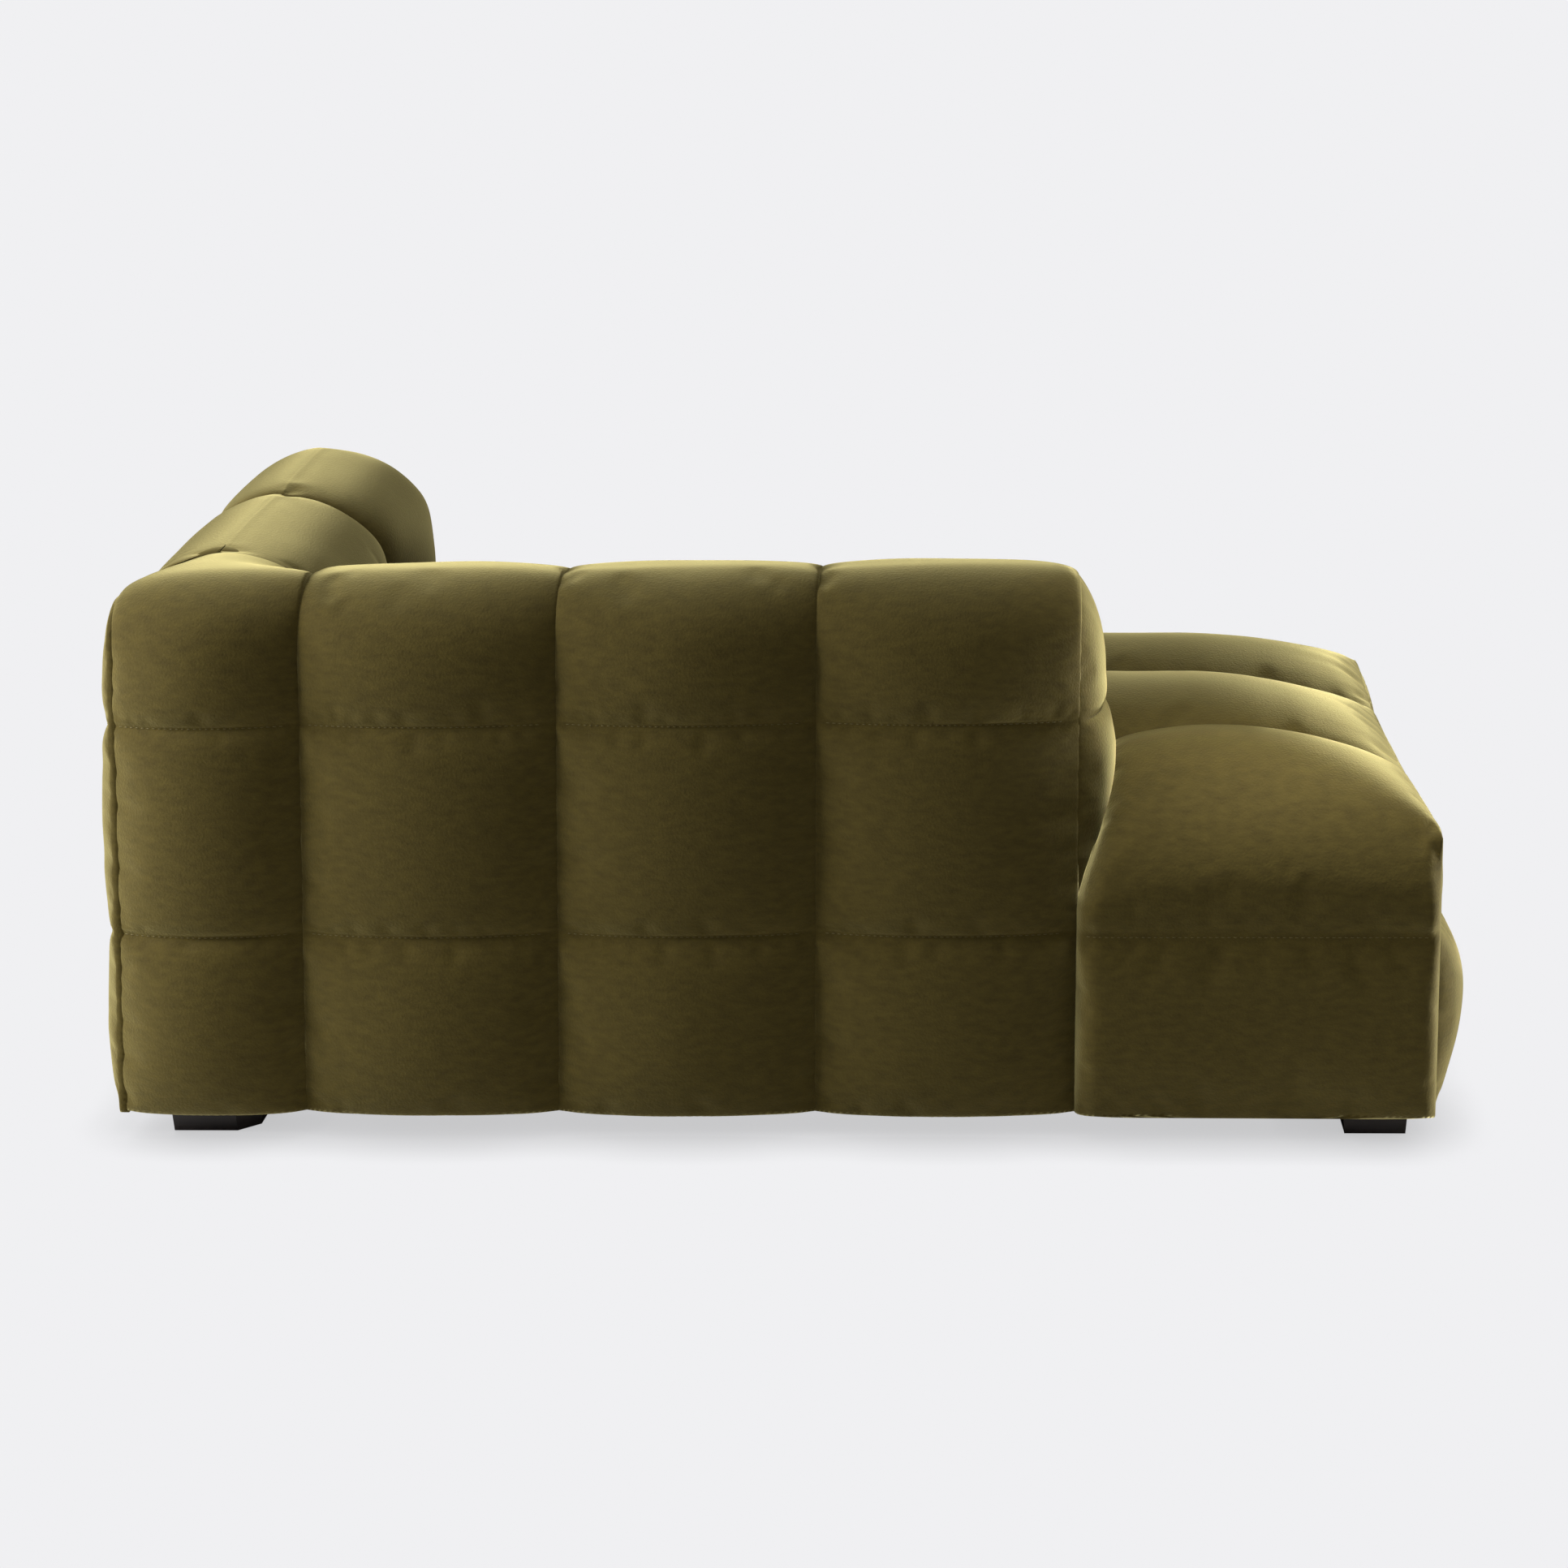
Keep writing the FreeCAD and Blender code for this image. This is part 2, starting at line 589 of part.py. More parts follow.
glides = []
foot_bolts = []
nuts = []
cover_holes = []
for place, (x, y) in feet.items():
    along = (RAIL_BACK, RAIL_BACK + size("block_length"))
    if place.startswith("front"):
        along = (RAIL_FOOT - size("block_length"), RAIL_FOOT)
    across = (RAIL_NEAR, RAIL_NEAR + size("block_width"))
    if place.endswith("far"):
        across = (RAIL_FAR - size("block_width"), RAIL_FAR)
    blank = box(f"block_{place}_blank", along, across, (BASE_BOTTOM, BLOCK_TOP))
    bore = upright(f"block_{place}_bore", x, y, (BASE_BOTTOM, BLOCK_TOP), size("bolt_diameter") + room)
    nut_bore = upright(f"block_{place}_nut_bore", x, y, (NUT_BOTTOM, BLOCK_TOP), size("nut_barrel") + room)
    keep(f"corner_block_{place}", cut(f"corner_block_{place}", blank, bore, nut_bore))
    flange = upright(f"nut_flange_{place}", x, y, (BLOCK_TOP, NUT_TOP), size("nut_diameter"))
    barrel = upright(f"nut_barrel_{place}", x, y, (NUT_BOTTOM, BLOCK_TOP), size("nut_barrel"))
    thread = upright(f"nut_thread_{place}", x, y, (NUT_BOTTOM, NUT_TOP), size("bolt_diameter") + room)
    nuts.append(cut(f"nut_{place}", fused(f"nut_body_{place}", flange, barrel), thread))
    shank = upright(f"foot_bolt_shank_{place}", x, y, (GLIDE_TOP, NUT_TOP), size("bolt_diameter"))
    head = upright(f"foot_bolt_head_{place}", x, y, (GLIDE_TOP, HEAD_TOP), size("bolt_head_diameter"))
    foot_bolts.append(fused(f"foot_bolt_{place}", shank, head))
    glides.append(upright(f"glide_{place}", x, y, (as_size(0), GLIDE_TOP), size("glide_diameter")))
    cover_holes.append(upright(f"cover_hole_{place}", x, y, (COVER_BOTTOM, BASE_BOTTOM),
                               size("bolt_diameter") + room))
group("foot_glides", glides)
group("foot_bolts", foot_bolts)
group("tee_nuts", nuts)
cover = box("dust_cover_blank", (BASE_BACK, BASE_FOOT), (BASE_NEAR, BASE_FAR), (COVER_BOTTOM, BASE_BOTTOM))
keep("dust_cover", cut("dust_cover", cover, *cover_holes))

# Check every piece, then write each one to its own file
doc.recompute()
for piece in doc.Objects:
    if "Invalid" in piece.State or "Error" in piece.State:
        raise RuntimeError(f"{piece.Label} failed: {piece.State}")
for piece in subparts:
    if piece.Shape.isNull() or not piece.Shape.isValid() or not piece.Shape.Solids:
        raise RuntimeError(f"{piece.Label} has no sound shape")
os.makedirs("parts", exist_ok=True)
for piece in subparts:
    piece.Shape.exportStep(f"parts/{piece.Label}.step")
    print(piece.Label, len(piece.Shape.Solids), round(piece.Shape.Volume / 1e6, 3), "litres")
print(len(subparts), "pieces")
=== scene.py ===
# %% [markdown]
# This lesson dresses a one-armed chaise longue. The carcass, feet and fittings come from the CAD frame,
# and every padded velvet piece is made here as a closed mesh that stands in the place of its CAD solid.
# All lengths are in metres: +X points to the foot end, -Y to the arm, +Z up.

# %% Load the frame
import math
import bpy
import bmesh
import numpy as np
from mathutils import Euler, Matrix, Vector


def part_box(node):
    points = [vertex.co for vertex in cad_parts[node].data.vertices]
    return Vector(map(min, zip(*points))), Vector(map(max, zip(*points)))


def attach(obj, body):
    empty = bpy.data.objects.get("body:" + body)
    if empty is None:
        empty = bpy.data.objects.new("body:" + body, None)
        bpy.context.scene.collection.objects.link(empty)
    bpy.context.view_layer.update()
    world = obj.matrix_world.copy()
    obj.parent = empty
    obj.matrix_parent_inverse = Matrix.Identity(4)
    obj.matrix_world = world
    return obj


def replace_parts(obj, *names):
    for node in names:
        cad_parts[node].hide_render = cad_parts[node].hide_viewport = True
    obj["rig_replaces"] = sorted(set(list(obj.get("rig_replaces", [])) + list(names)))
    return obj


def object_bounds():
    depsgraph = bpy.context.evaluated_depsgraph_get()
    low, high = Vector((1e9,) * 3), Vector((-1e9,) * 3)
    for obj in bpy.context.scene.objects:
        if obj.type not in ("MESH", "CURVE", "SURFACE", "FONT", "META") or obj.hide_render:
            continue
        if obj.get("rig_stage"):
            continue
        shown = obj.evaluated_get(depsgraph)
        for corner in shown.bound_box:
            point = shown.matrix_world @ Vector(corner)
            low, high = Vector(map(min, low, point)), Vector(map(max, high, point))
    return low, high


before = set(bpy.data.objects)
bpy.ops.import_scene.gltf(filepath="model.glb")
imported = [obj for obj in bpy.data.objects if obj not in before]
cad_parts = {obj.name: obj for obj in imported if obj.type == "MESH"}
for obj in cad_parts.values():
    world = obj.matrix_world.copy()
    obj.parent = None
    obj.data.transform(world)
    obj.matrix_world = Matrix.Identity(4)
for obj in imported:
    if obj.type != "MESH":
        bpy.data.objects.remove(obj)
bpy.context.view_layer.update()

# %% [markdown]
# The seams are the chaise's ruler: fabric panels meet on planes that stand a padding's depth outside the
# timber. They could be typed in again, but reading them from the CAD nodes keeps fabric and carcass together.

# %% Seam planes from the frame
PAD_BACKING = 0.026
INNER_PADDING = 0.050
near_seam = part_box("base_near_rail")[0].y - PAD_BACKING
far_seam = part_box("base_far_rail")[1].y + PAD_BACKING
back_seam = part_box("base_back_rail")[0].x - PAD_BACKING
foot_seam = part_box("base_front_rail")[1].x + PAD_BACKING
arm_seams = [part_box(f"arm_channel_{place}")[0].x for place in ("rear", "middle", "front")]
arm_seams.append(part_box("arm_channel_front")[1].x)
arm_front = arm_seams[-1]
arm_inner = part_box("arm_inner_panel")[1].y + INNER_PADDING
back_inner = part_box("back_inner_panel")[1].x + INNER_PADDING
first_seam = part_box("seat_channel_middle")[0].y
second_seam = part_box("seat_channel_middle")[1].y
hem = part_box("near_side_border")[0].z
seat_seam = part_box("near_side_border")[1].z
foam_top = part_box("seat_foam_core")[1].z
arm_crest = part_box("arm_channel_rear")[1].z
back_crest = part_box("back_channel_far")[1].z
seat_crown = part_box("seat_channel_middle")[1].z
arm_bands = list(zip(("rear", "middle", "front"), arm_seams, arm_seams[1:]))
seat_bands = [
    ("near", near_seam, first_seam), ("middle", first_seam, second_seam), ("far", second_seam, far_seam)]
STITCH_LOW = hem + 0.233
STITCH_HIGH = hem + 0.494
print("arm seams", [round(x, 3) for x in arm_seams])
print("seat seams", round(first_seam, 3), round(second_seam, 3))

# %% [markdown]
# The camera stands where the photograph's did: square to the arm's outside, above the crest and a little
# towards the foot end. Its place was fitted to measured points, so it is set before anything else.

# %% Camera
CAMERA_PLACE = (0.2697, -4.3778, 1.4296)
CAMERA_YAW = 3.79
CAMERA_PITCH = -14.075
CAMERA_ROLL = 1.15
CAMERA_LENS = 77.12


def linked(name, data):
    """A new object that stands in the scene."""
    thing = bpy.data.objects.new(name, data)
    bpy.context.scene.collection.objects.link(thing)
    return thing


camera_data = bpy.data.cameras.new("camera")
camera_data.lens = CAMERA_LENS
camera_data.sensor_width = 36.0
camera_data.clip_end = 60.0
camera = linked("camera", camera_data)
camera.location = CAMERA_PLACE
turn = Euler((math.radians(90 + CAMERA_PITCH), 0, math.radians(CAMERA_YAW))).to_matrix()
roll = Euler((0, 0, math.radians(-CAMERA_ROLL))).to_matrix()
camera.rotation_euler = (turn @ roll).to_euler()
bpy.context.scene.camera = camera
bpy.context.scene.view_settings.view_transform = "Standard"
print("camera at", CAMERA_PLACE)

# %% [markdown]
# A quilted channel runs up the outside of a wall, over its top and down the inside. Its path is a line with
# rounded corners, so one helper rounds a polyline and spreads points evenly along it.

# %% Paths with rounded corners
ARC_STEPS = 24
FINE_STEPS = 1500
CROWDING = 2.5
CROWD_REACH = 0.012
SEAM_STEEPNESS = 8.0


def run_length(points):
    """How far along a line of points each of them lies."""
    return np.concatenate([[0], np.cumsum(np.linalg.norm(np.diff(points, axis=0), axis=1))])


def rounded_path(corners, radii, count, levels=()):
    """Points and outward normals along a polyline with rounded corners, closer together near the levels."""
    corners = [np.array(corner, float) for corner in corners]
    line = [corners[0]]
    for corner, before, after, radius in zip(corners[1:-1], corners, corners[2:], radii):
        back = (before - corner) / np.linalg.norm(before - corner)
        ahead = (after - corner) / np.linalg.norm(after - corner)
        half = math.acos(np.clip(back @ ahead, -1, 1)) / 2
        reach = radius / math.tan(half)
        centre = corner + (back + ahead) / np.linalg.norm(back + ahead) * radius / math.sin(half)
        start = corner + back * reach - centre
        end = corner + ahead * reach - centre
        sweep = math.pi - 2 * half
        for share in np.linspace(0, 1, ARC_STEPS):
            mix = (start * math.sin((1 - share) * sweep) + end * math.sin(share * sweep)) / math.sin(sweep)
            line.append(centre + mix)
    line.append(corners[-1])
    line = np.array(line)
    lengths = run_length(line)
    fine = np.linspace(0, lengths[-1], FINE_STEPS)
    height = np.interp(fine, lengths, line[:, 1])
    crowd = np.ones_like(fine)
    for level in levels:
        crowd = crowd + CROWDING * bump(height - level, CROWD_REACH)
    travel = np.concatenate([[0], np.cumsum((crowd[1:] + crowd[:-1]) / 2)])
    spots = np.interp(np.linspace(0, travel[-1], count), travel, fine)
    even = np.stack([np.interp(spots, lengths, line[:, i]) for i in range(2)], axis=1)
    tangent = np.stack([np.gradient(even[:, i], spots) for i in range(2)], axis=1)
    tangent /= np.linalg.norm(tangent, axis=1)[:, None]
    return even, np.stack([-tangent[:, 1], tangent[:, 0]], axis=1)


def pillow(share, arch=0.8, flush=0.0):
    """Fullness across a channel: a broad arch over steep walls, 0 at its two seams and 1 in its middle.

    With flush above 0 the first seam is skipped by that share, so that the channel runs on from the one
    beside it.
    """
    side = np.abs(2 * (flush + (1 - flush) * share) - 1)
    return arch * (1 - side ** 2.0) + (1 - arch) * (1 - side ** SEAM_STEEPNESS).clip(0) ** 0.5


def crowded(count, strength=0.6):
    """Shares from 0 to 1 that crowd towards both ends, where the fabric turns into a seam."""
    share = np.linspace(0, 1, count)
    return share * (1 - strength) + (1 - np.cos(math.pi * share)) / 2 * strength


def between(value, low, high):
    """How far a value lies on its way from low to high, from 0 to 1."""
    return np.clip((value - low) / (high - low), 0, 1)


def bump(distance, width):
    """A soft rise that is 1 at distance 0."""
    return np.exp(-(distance / width) ** 2)


# %% [markdown]
# Fabric is never ruler-straight. Smooth one-way noise from a seeded table gives each seam its own run of
# puckers and each panel a slow unevenness, the same on every run.

# %% Seeded unevenness
TABLE_SEED = 41
TABLE_LENGTH = 4096
SEED_STRIDE = 37.3
ROW_STRIDE = 1.7
random_table = np.random.default_rng(TABLE_SEED).uniform(-1, 1, TABLE_LENGTH)


def smooth_step(share):
    """Eases a share from 0 to 1 at both ends."""
    return share * share * (3 - 2 * share)


def wander(position, seed):
    """Smooth noise along a line of positions, one bump per unit."""
    shifted = position + seed * SEED_STRIDE
    cell = np.floor(shifted).astype(int)
    share = smooth_step(shifted - cell)
    low = random_table[cell % random_table.size]
    high = random_table[(cell + 1) % random_table.size]
    return low + (high - low) * share


def wander_sheet(across, along, seed):
    """Smooth noise over a sheet, one bump per unit each way."""
    cell = np.floor(across).astype(int)
    share = smooth_step(across - cell)
    row = wander(along, seed + cell * ROW_STRIDE)
    next_row = wander(along, seed + (cell + 1) * ROW_STRIDE)
    return row * (1 - share) + next_row * share


def unevenness(across, along, kind, seed):
    """A slow rise and fall over a sheet; kind is its height, its pitch each way and a shift along it."""
    rise, pitch_across, pitch_along, shift = kind
    return rise * wander_sheet(across / pitch_across, along / pitch_along + shift, seed)


# %% [markdown]
# Every velvet piece is a grid of points for its outside, closed by a plain backing towards the timber. The
# back could be a full copy of the grid, but a few wide faces are enough where nobody looks. The whole cover
# spreads a little towards the back at its hem.

# %% Closed fabric pieces from grids
HEM_SPREAD = 0.028
STITCH_HOLD = 0.005


def sheet(x, y, z):
    """Points from three coordinates, each of them a number, a row, a column or a whole sheet."""
    return np.stack(np.broadcast_arrays(x, y, z), axis=-1)


def placed(axis, across, profile):
    """Points from distances along axis 0 or 1 and a profile of (beside, height) square to that axis."""
    beside = profile[..., 0]
    height = profile[..., 1]
    return sheet(across, beside, height) if axis == 0 else sheet(beside, across, height)


def closed_piece(name, grid, backing):
    """A mesh whose outside is the grid (rows x columns x 3) and whose back has two columns of points."""
    rows, columns = grid.shape[:2]
    mesh = bmesh.new()
    outside = [[mesh.verts.new(grid[r, c]) for c in range(columns)] for r in range(rows)]
    inside = [[mesh.verts.new(backing[r, c]) for c in range(2)] for r in range(rows)]
    for r in range(rows - 1):
        for c in range(columns - 1):
            mesh.faces.new((outside[r][c], outside[r][c + 1], outside[r + 1][c + 1], outside[r + 1][c]))
        mesh.faces.new((inside[r][0], outside[r][0], outside[r + 1][0], inside[r + 1][0]))
        mesh.faces.new((outside[r][-1], inside[r][1], inside[r + 1][1], outside[r + 1][-1]))
        mesh.faces.new((inside[r][1], inside[r][0], inside[r + 1][0], inside[r + 1][1]))
    mesh.faces.new([inside[0][0], inside[0][1]] + outside[0][::-1])
    mesh.faces.new([inside[-1][1], inside[-1][0]] + outside[-1])
    bmesh.ops.recalc_face_normals(mesh, faces=mesh.faces)
    data = smooth_data(name, mesh)
    index = np.arange(rows * columns).reshape(rows, columns)
    rim = np.concatenate([index[0], index[-1], index[:, 0], index[:, -1]])
    return sewn_object(name, data, [*rim.tolist(), *range(rows * columns, rows * (columns + 2))])


def smooth_data(name, mesh):
    """Smoothly shaded mesh data from a finished bmesh, which is freed."""
    data = bpy.data.meshes.new(name)
    mesh.to_mesh(data)
    mesh.free()
    for polygon in data.polygons:
        polygon.use_smooth = True
    return data


def spread(x, z):
    """How far the cover stands out towards the back at its foot, where its seams run a little aslant."""
    return HEM_SPREAD * (foot_seam - x) / (foot_seam - back_seam) * (arm_crest - z) / (arm_crest - hem)


def sewn_object(name, data, pins):
    """An object for a fabric mesh, with the points that seams and stitches hold in a vertex group."""
    for vertex in data.vertices:
        vertex.co.x -= spread(vertex.co.x, vertex.co.z)
    piece = linked(name, data)
    held = {vertex.index for vertex in data.vertices
            if min(abs(vertex.co.z - STITCH_LOW), abs(vertex.co.z - STITCH_HIGH)) < STITCH_HOLD}
    piece.vertex_groups.new(name="seam").add(sorted(held.union(pins)), 1.0, "REPLACE")
    return piece


def dress(piece, fill, *nodes):
    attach(piece, "root")
    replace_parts(piece, *nodes)
    velvet_pieces.append(piece)
    print(piece.name, len(piece.data.vertices), "points")


velvet_pieces = []

# %% [markdown]
# The arm's outside shows three quilted columns side by side. Each column is one strip of velvet sewn down
# along its two seams and tufted by two cross stitches, so its fullness is worked out along and across.

# %% Fullness of a wall channel
SEAM_SINK = 0.006
TOP_SINK = 0.002
OUTER_FULLNESS = 0.027
TIER_FULLNESS = 0.009
STITCH_DEPTH = 0.006
STITCH_WIDTH = 0.014
CREASE_DEPTH = 0.0035
CREASE_WIDTH = 0.0035
TOP_FULLNESS = 0.006
INNER_FULLNESS = 0.025
FACE_ARCH = 0.85
TOP_ARCH = 0.40
UPPER_TAPER = 0.65
HEM_TAPER = 0.6
HEM_ROLL = 0.090
# A pucker has a height, a reach from its seam and a pitch along it.
SHORT_PUCKER = (0.0011, 0.018, 0.011)
LONG_PUCKER = (0.0018, 0.050, 0.034)
WALL_UNEVEN = (0.0016, 0.12, 0.10, 50)


def ease(share, power=2.0):
    """A quarter of a rounded square, an ellipse at power 2: steep at 0, level at 1."""
    return (1 - (1 - np.clip(share, 0, 1)) ** power) ** (1 / power)


def tier_share(height, levels):
    """How far up its own tier each height lies, from 0 to 1."""
    share = np.zeros_like(height)
    for low, high in zip(levels, levels[1:]):
        inside = (height >= low) & (height <= high)
        share[inside] = (height[inside] - low) / (high - low)
    return share


def face_fullness(height, levels):
    """Fullness of an upright face that is tufted at each level between the first and the last."""
    full = OUTER_FULLNESS + TIER_FULLNESS * np.sin(math.pi * tier_share(height, levels)) ** 0.8
    climb = between(height, levels[-2], levels[-1])
    full = full * (1 - UPPER_TAPER * climb ** 2)
    full = full * (1 - HEM_TAPER * (1 - ease((height - levels[0]) / HEM_ROLL)))
    for level in levels[1:-1]:
        full = full - stitch_dip(height - level)
    return full


def stitch_dip(distance):
    """How far a cross stitch draws the velvet in: a soft hollow with a crease at the thread."""
    return STITCH_DEPTH * bump(distance, STITCH_WIDTH) + CREASE_DEPTH * bump(distance, CREASE_WIDTH)


def wall_fullness(path, normal, levels, top=TOP_FULLNESS):
    """Fullness along a path that climbs the outside, crosses the top and falls down the inside."""
    outer = np.where(normal[:, 0] < 0, normal[:, 0] ** 2, 0)
    inner = np.where(normal[:, 0] > 0, normal[:, 0] ** 2, 0)
    over = np.clip(normal[:, 1], 0, 1) ** 2
    return outer * face_fullness(path[:, 1], levels) + over * top + inner * INNER_FULLNESS


def puckers(along, from_seam, seed, depth=1.0):
    """Gathers that stand square to a seam and fade out away from it: short ones and long ones."""
    rise, reach, pitch = SHORT_PUCKER
    short = rise * np.exp(-from_seam / reach) * wander(along / pitch, seed)
    rise, reach, pitch = LONG_PUCKER
    long = rise * np.exp(-from_seam / reach) * wander(along / pitch, seed + 5)
    return depth * (short + long)


def channel_grid(path, normal, full, start, end, seed, rolls, crest=1.0, top_arch=TOP_ARCH, flush=0.0):
    """Offsets of a channel: rows along the path, columns across it; rolls round its top at open ends."""
    share = crowded(steps_for(end - start))
    across = start + (end - start) * share
    rows = run_length(path)[:, None]
    over = 1 - (1 - np.clip(normal[:, 1] * crest, 0, 1) ** 2) ** crest
    shape = pillow(share[None, :], (FACE_ARCH + (top_arch - FACE_ARCH) * over)[:, None], flush)
    sink = SEAM_SINK + (TOP_SINK - SEAM_SINK) * over
    offset = -sink[:, None] + (full + sink)[:, None] * shape
    left = np.abs(across - start)[None, :]
    right = np.abs(end - across)[None, :]
    for distance, (reach, drop) in zip((left, right), rolls):
        offset = offset - drop * over[:, None] * (1 - ease(distance / reach))
    gather = puckers(rows, left, seed) + puckers(rows, right, seed + 11)
    slow = unevenness(rows, across[None, :], WALL_UNEVEN, seed + 3)
    return across, offset + (gather + slow) * shape ** 0.5


# %% [markdown]
# The three arm channels share the arm's profile: up the outside, over a top that falls a little inwards, and
# down to the seat. Open ends roll down at the top, where their end panels are sewn on.

# %% Arm channels
CREST_TAPER = 0.010
ARM_LEVELS = [hem, STITCH_LOW, STITCH_HIGH, arm_crest - CREST_TAPER]
ARM_CLEAR = 0.006
ARM_TOP = arm_crest - ARM_CLEAR
ARM_GIRTH = 1.30
ARM_TOP_FALL = 0.022
ARM_RADII = [0.072, 0.100]
WALL_STEP = 0.0085
SEAM_LAP = 0.003
BACKING_DEPTH = 0.020
REAR_BACKING = 0.060


def steps_for(length, step=WALL_STEP):
    """How many points a length of fabric takes."""
    return max(8, int(round(length / step)))


arm_path, arm_normal = rounded_path(
    [(near_seam, hem), (near_seam, ARM_TOP), (arm_inner, ARM_TOP - ARM_TOP_FALL), (arm_inner, seat_seam)],
    ARM_RADII, steps_for(ARM_GIRTH), ARM_LEVELS[1:3])
arm_full = wall_fullness(arm_path, arm_normal, ARM_LEVELS)
arm_profile = (arm_path, arm_normal, arm_full)


def wall_piece(name, profile, start, end, seed, rolls, axis, depth=BACKING_DEPTH, lowered=None, **top):
    """A channel of a wall along axis 0 or 1, with a profile of path, normals and fullness square to it.

    lowered says how far each of its points is let down, and top how its crest is rounded.
    """
    path, normal, full = profile
    across, offset = channel_grid(path, normal, full, start, end, seed, rolls, **top)
    grid = placed(axis, across[None, :], path[:, None] + normal[:, None] * offset[..., None])
    if lowered:
        grid[..., 2] -= lowered(grid)
    backing = placed(axis, np.array([[start, end]]), (path - normal * depth)[:, None])
    return closed_piece(name, grid, backing)


# A roll has a reach from the channel's end and a drop at that end.
NO_ROLL = (0.050, 0.0)
FRONT_ROLL = (0.075, 0.010)
CORNER_ROLL = (0.110, 0.022)
for (place, start, end), seed in zip(arm_bands, (3, 23, 43)):
    rolls = (NO_ROLL, FRONT_ROLL if place == "front" else NO_ROLL)
    depth = REAR_BACKING if place == "rear" else BACKING_DEPTH
    piece = wall_piece(
        f"velvet_arm_{place}", arm_profile, start - SEAM_LAP, end + SEAM_LAP, seed, rolls, 0, depth)
    dress(piece, 0.8, f"arm_channel_{place}")

# %% [markdown]
# The back is the same kind of wall turned a quarter round, a little taller than the arm and rolled more
# softly towards the seat. Its two channels run between the seat's seams. They stand for the soft strip on the
# wall's top as well, since the velvet is drawn down below its edge.

# %% Back channels
BACK_CLEAR = 0.001
BACK_TOP = back_crest - BACK_CLEAR
BACK_TOP_FALL = 0.020
BACK_GIRTH = 1.33
BACK_LEVELS = [hem, STITCH_LOW, STITCH_HIGH, back_crest - CREST_TAPER]
BACK_RADII = [0.076, 0.150]
BACK_SLOPE = 0.036
BACK_CREST = 2.0
BACK_TOP_ARCH = 0.15
BACK_TOP_FULLNESS = 0.012
BACK_OUTER_GAIN = 0.012
BACK_INNER_GAIN = 0.019
CORNER_LAP = 0.024
CORNER_FLUSH = 0.12
back_path, back_normal = rounded_path(
    [(back_seam, hem), (back_seam, BACK_TOP), (back_inner, BACK_TOP - BACK_TOP_FALL),
     (back_inner, seat_seam)], BACK_RADII, steps_for(BACK_GIRTH), BACK_LEVELS[1:3])
back_full = wall_fullness(back_path, back_normal, BACK_LEVELS, top=BACK_TOP_FULLNESS)
back_gain = np.where(back_normal[:, 0] < 0, BACK_OUTER_GAIN, BACK_INNER_GAIN)
back_full = back_full + back_gain * back_normal[:, 0] ** 2


def back_fall(grid):
    """How far the back's upper part is let down towards the corner, where its crest is lowest."""
    slope = BACK_SLOPE * (1 - between(grid[..., 1], first_seam, far_seam))
    return slope * between(grid[..., 2], STITCH_HIGH, back_crest)


for place, start, end, seed, flush in (
        ("middle", first_seam - CORNER_LAP, second_seam, 83, CORNER_FLUSH),
        ("far", second_seam, far_seam, 103, 0.0)):
    rolls = (NO_ROLL, FRONT_ROLL if place == "far" else NO_ROLL)
    piece = wall_piece(
        f"velvet_back_{place}", (back_path, back_normal, back_full), start, end, seed, rolls, 1,
        lowered=back_fall, crest=BACK_CREST, top_arch=BACK_TOP_ARCH, flush=flush)
    dress(piece, 0.8, f"back_channel_{place}", "back_top_foam")

# %% [markdown]
# Where arm and back meet stands the corner column. Outside it looks like one more arm channel, but its top
# leads into the back, so towards the back's first seam it takes on the back's rolled profile.

# %% Corner column
CORNER_GIRTH = 1.0
CORNER_FALL_START = near_seam + 0.080
CORNER_FALL_MOST = 0.085
CORNER_END_REACH = 0.045
CORNER_END_FULLNESS = 0.4
TOP_FACING = 0.15
back_top_x = back_path[:, 0] + back_normal[:, 0] * back_full
back_top_z = back_path[:, 1] + back_normal[:, 1] * back_full
on_top = back_normal[:, 1] > TOP_FACING


def corner_fall(grid):
    """How far the corner's top is let down to follow the back's roll towards the seat."""
    roll = back_top_z.max() - np.interp(grid[..., 0], back_top_x[on_top], back_top_z[on_top])
    share = between(grid[..., 1], CORNER_FALL_START, first_seam)
    upward = np.clip(corner_normal[:, 1:2], 0, 1) ** 2
    return np.clip(roll, 0, CORNER_FALL_MOST) * smooth_step(share) * upward


corner_path, corner_normal = rounded_path(
    [(near_seam, hem), (near_seam, ARM_TOP), (first_seam, BACK_TOP - BACK_SLOPE)], ARM_RADII[:1],
    steps_for(CORNER_GIRTH), ARM_LEVELS[1:3])
corner_run = run_length(corner_path)
corner_close = ease((corner_run[-1] - corner_run) / CORNER_END_REACH)
corner_full = wall_fullness(corner_path, corner_normal, ARM_LEVELS)
corner_full = corner_full * (CORNER_END_FULLNESS + (1 - CORNER_END_FULLNESS) * corner_close)
piece = wall_piece(
    "velvet_corner", (corner_path, corner_normal, corner_full), back_seam, arm_seams[0] + SEAM_LAP, 63,
    (CORNER_ROLL, NO_ROLL), 0, lowered=corner_fall)
dress(piece, 0.8, "corner_channel")

# %% [markdown]
# The open ends of the two walls are closed by bulging end panels. A panel fills an outline: rings shrink from
# the outline towards its middle line while the panel swells, which keeps the rim round and the middle calm.

# %% End panels of the walls
PANEL_RINGS = 16
RING_CROWD = 1.2
RIM_POWER = 2.4
RIM_SLOPE = 0.5
PANEL_PUCKER = 1.3
SPINE_MERGE = 0.0015
FOOT_STEPS = 24


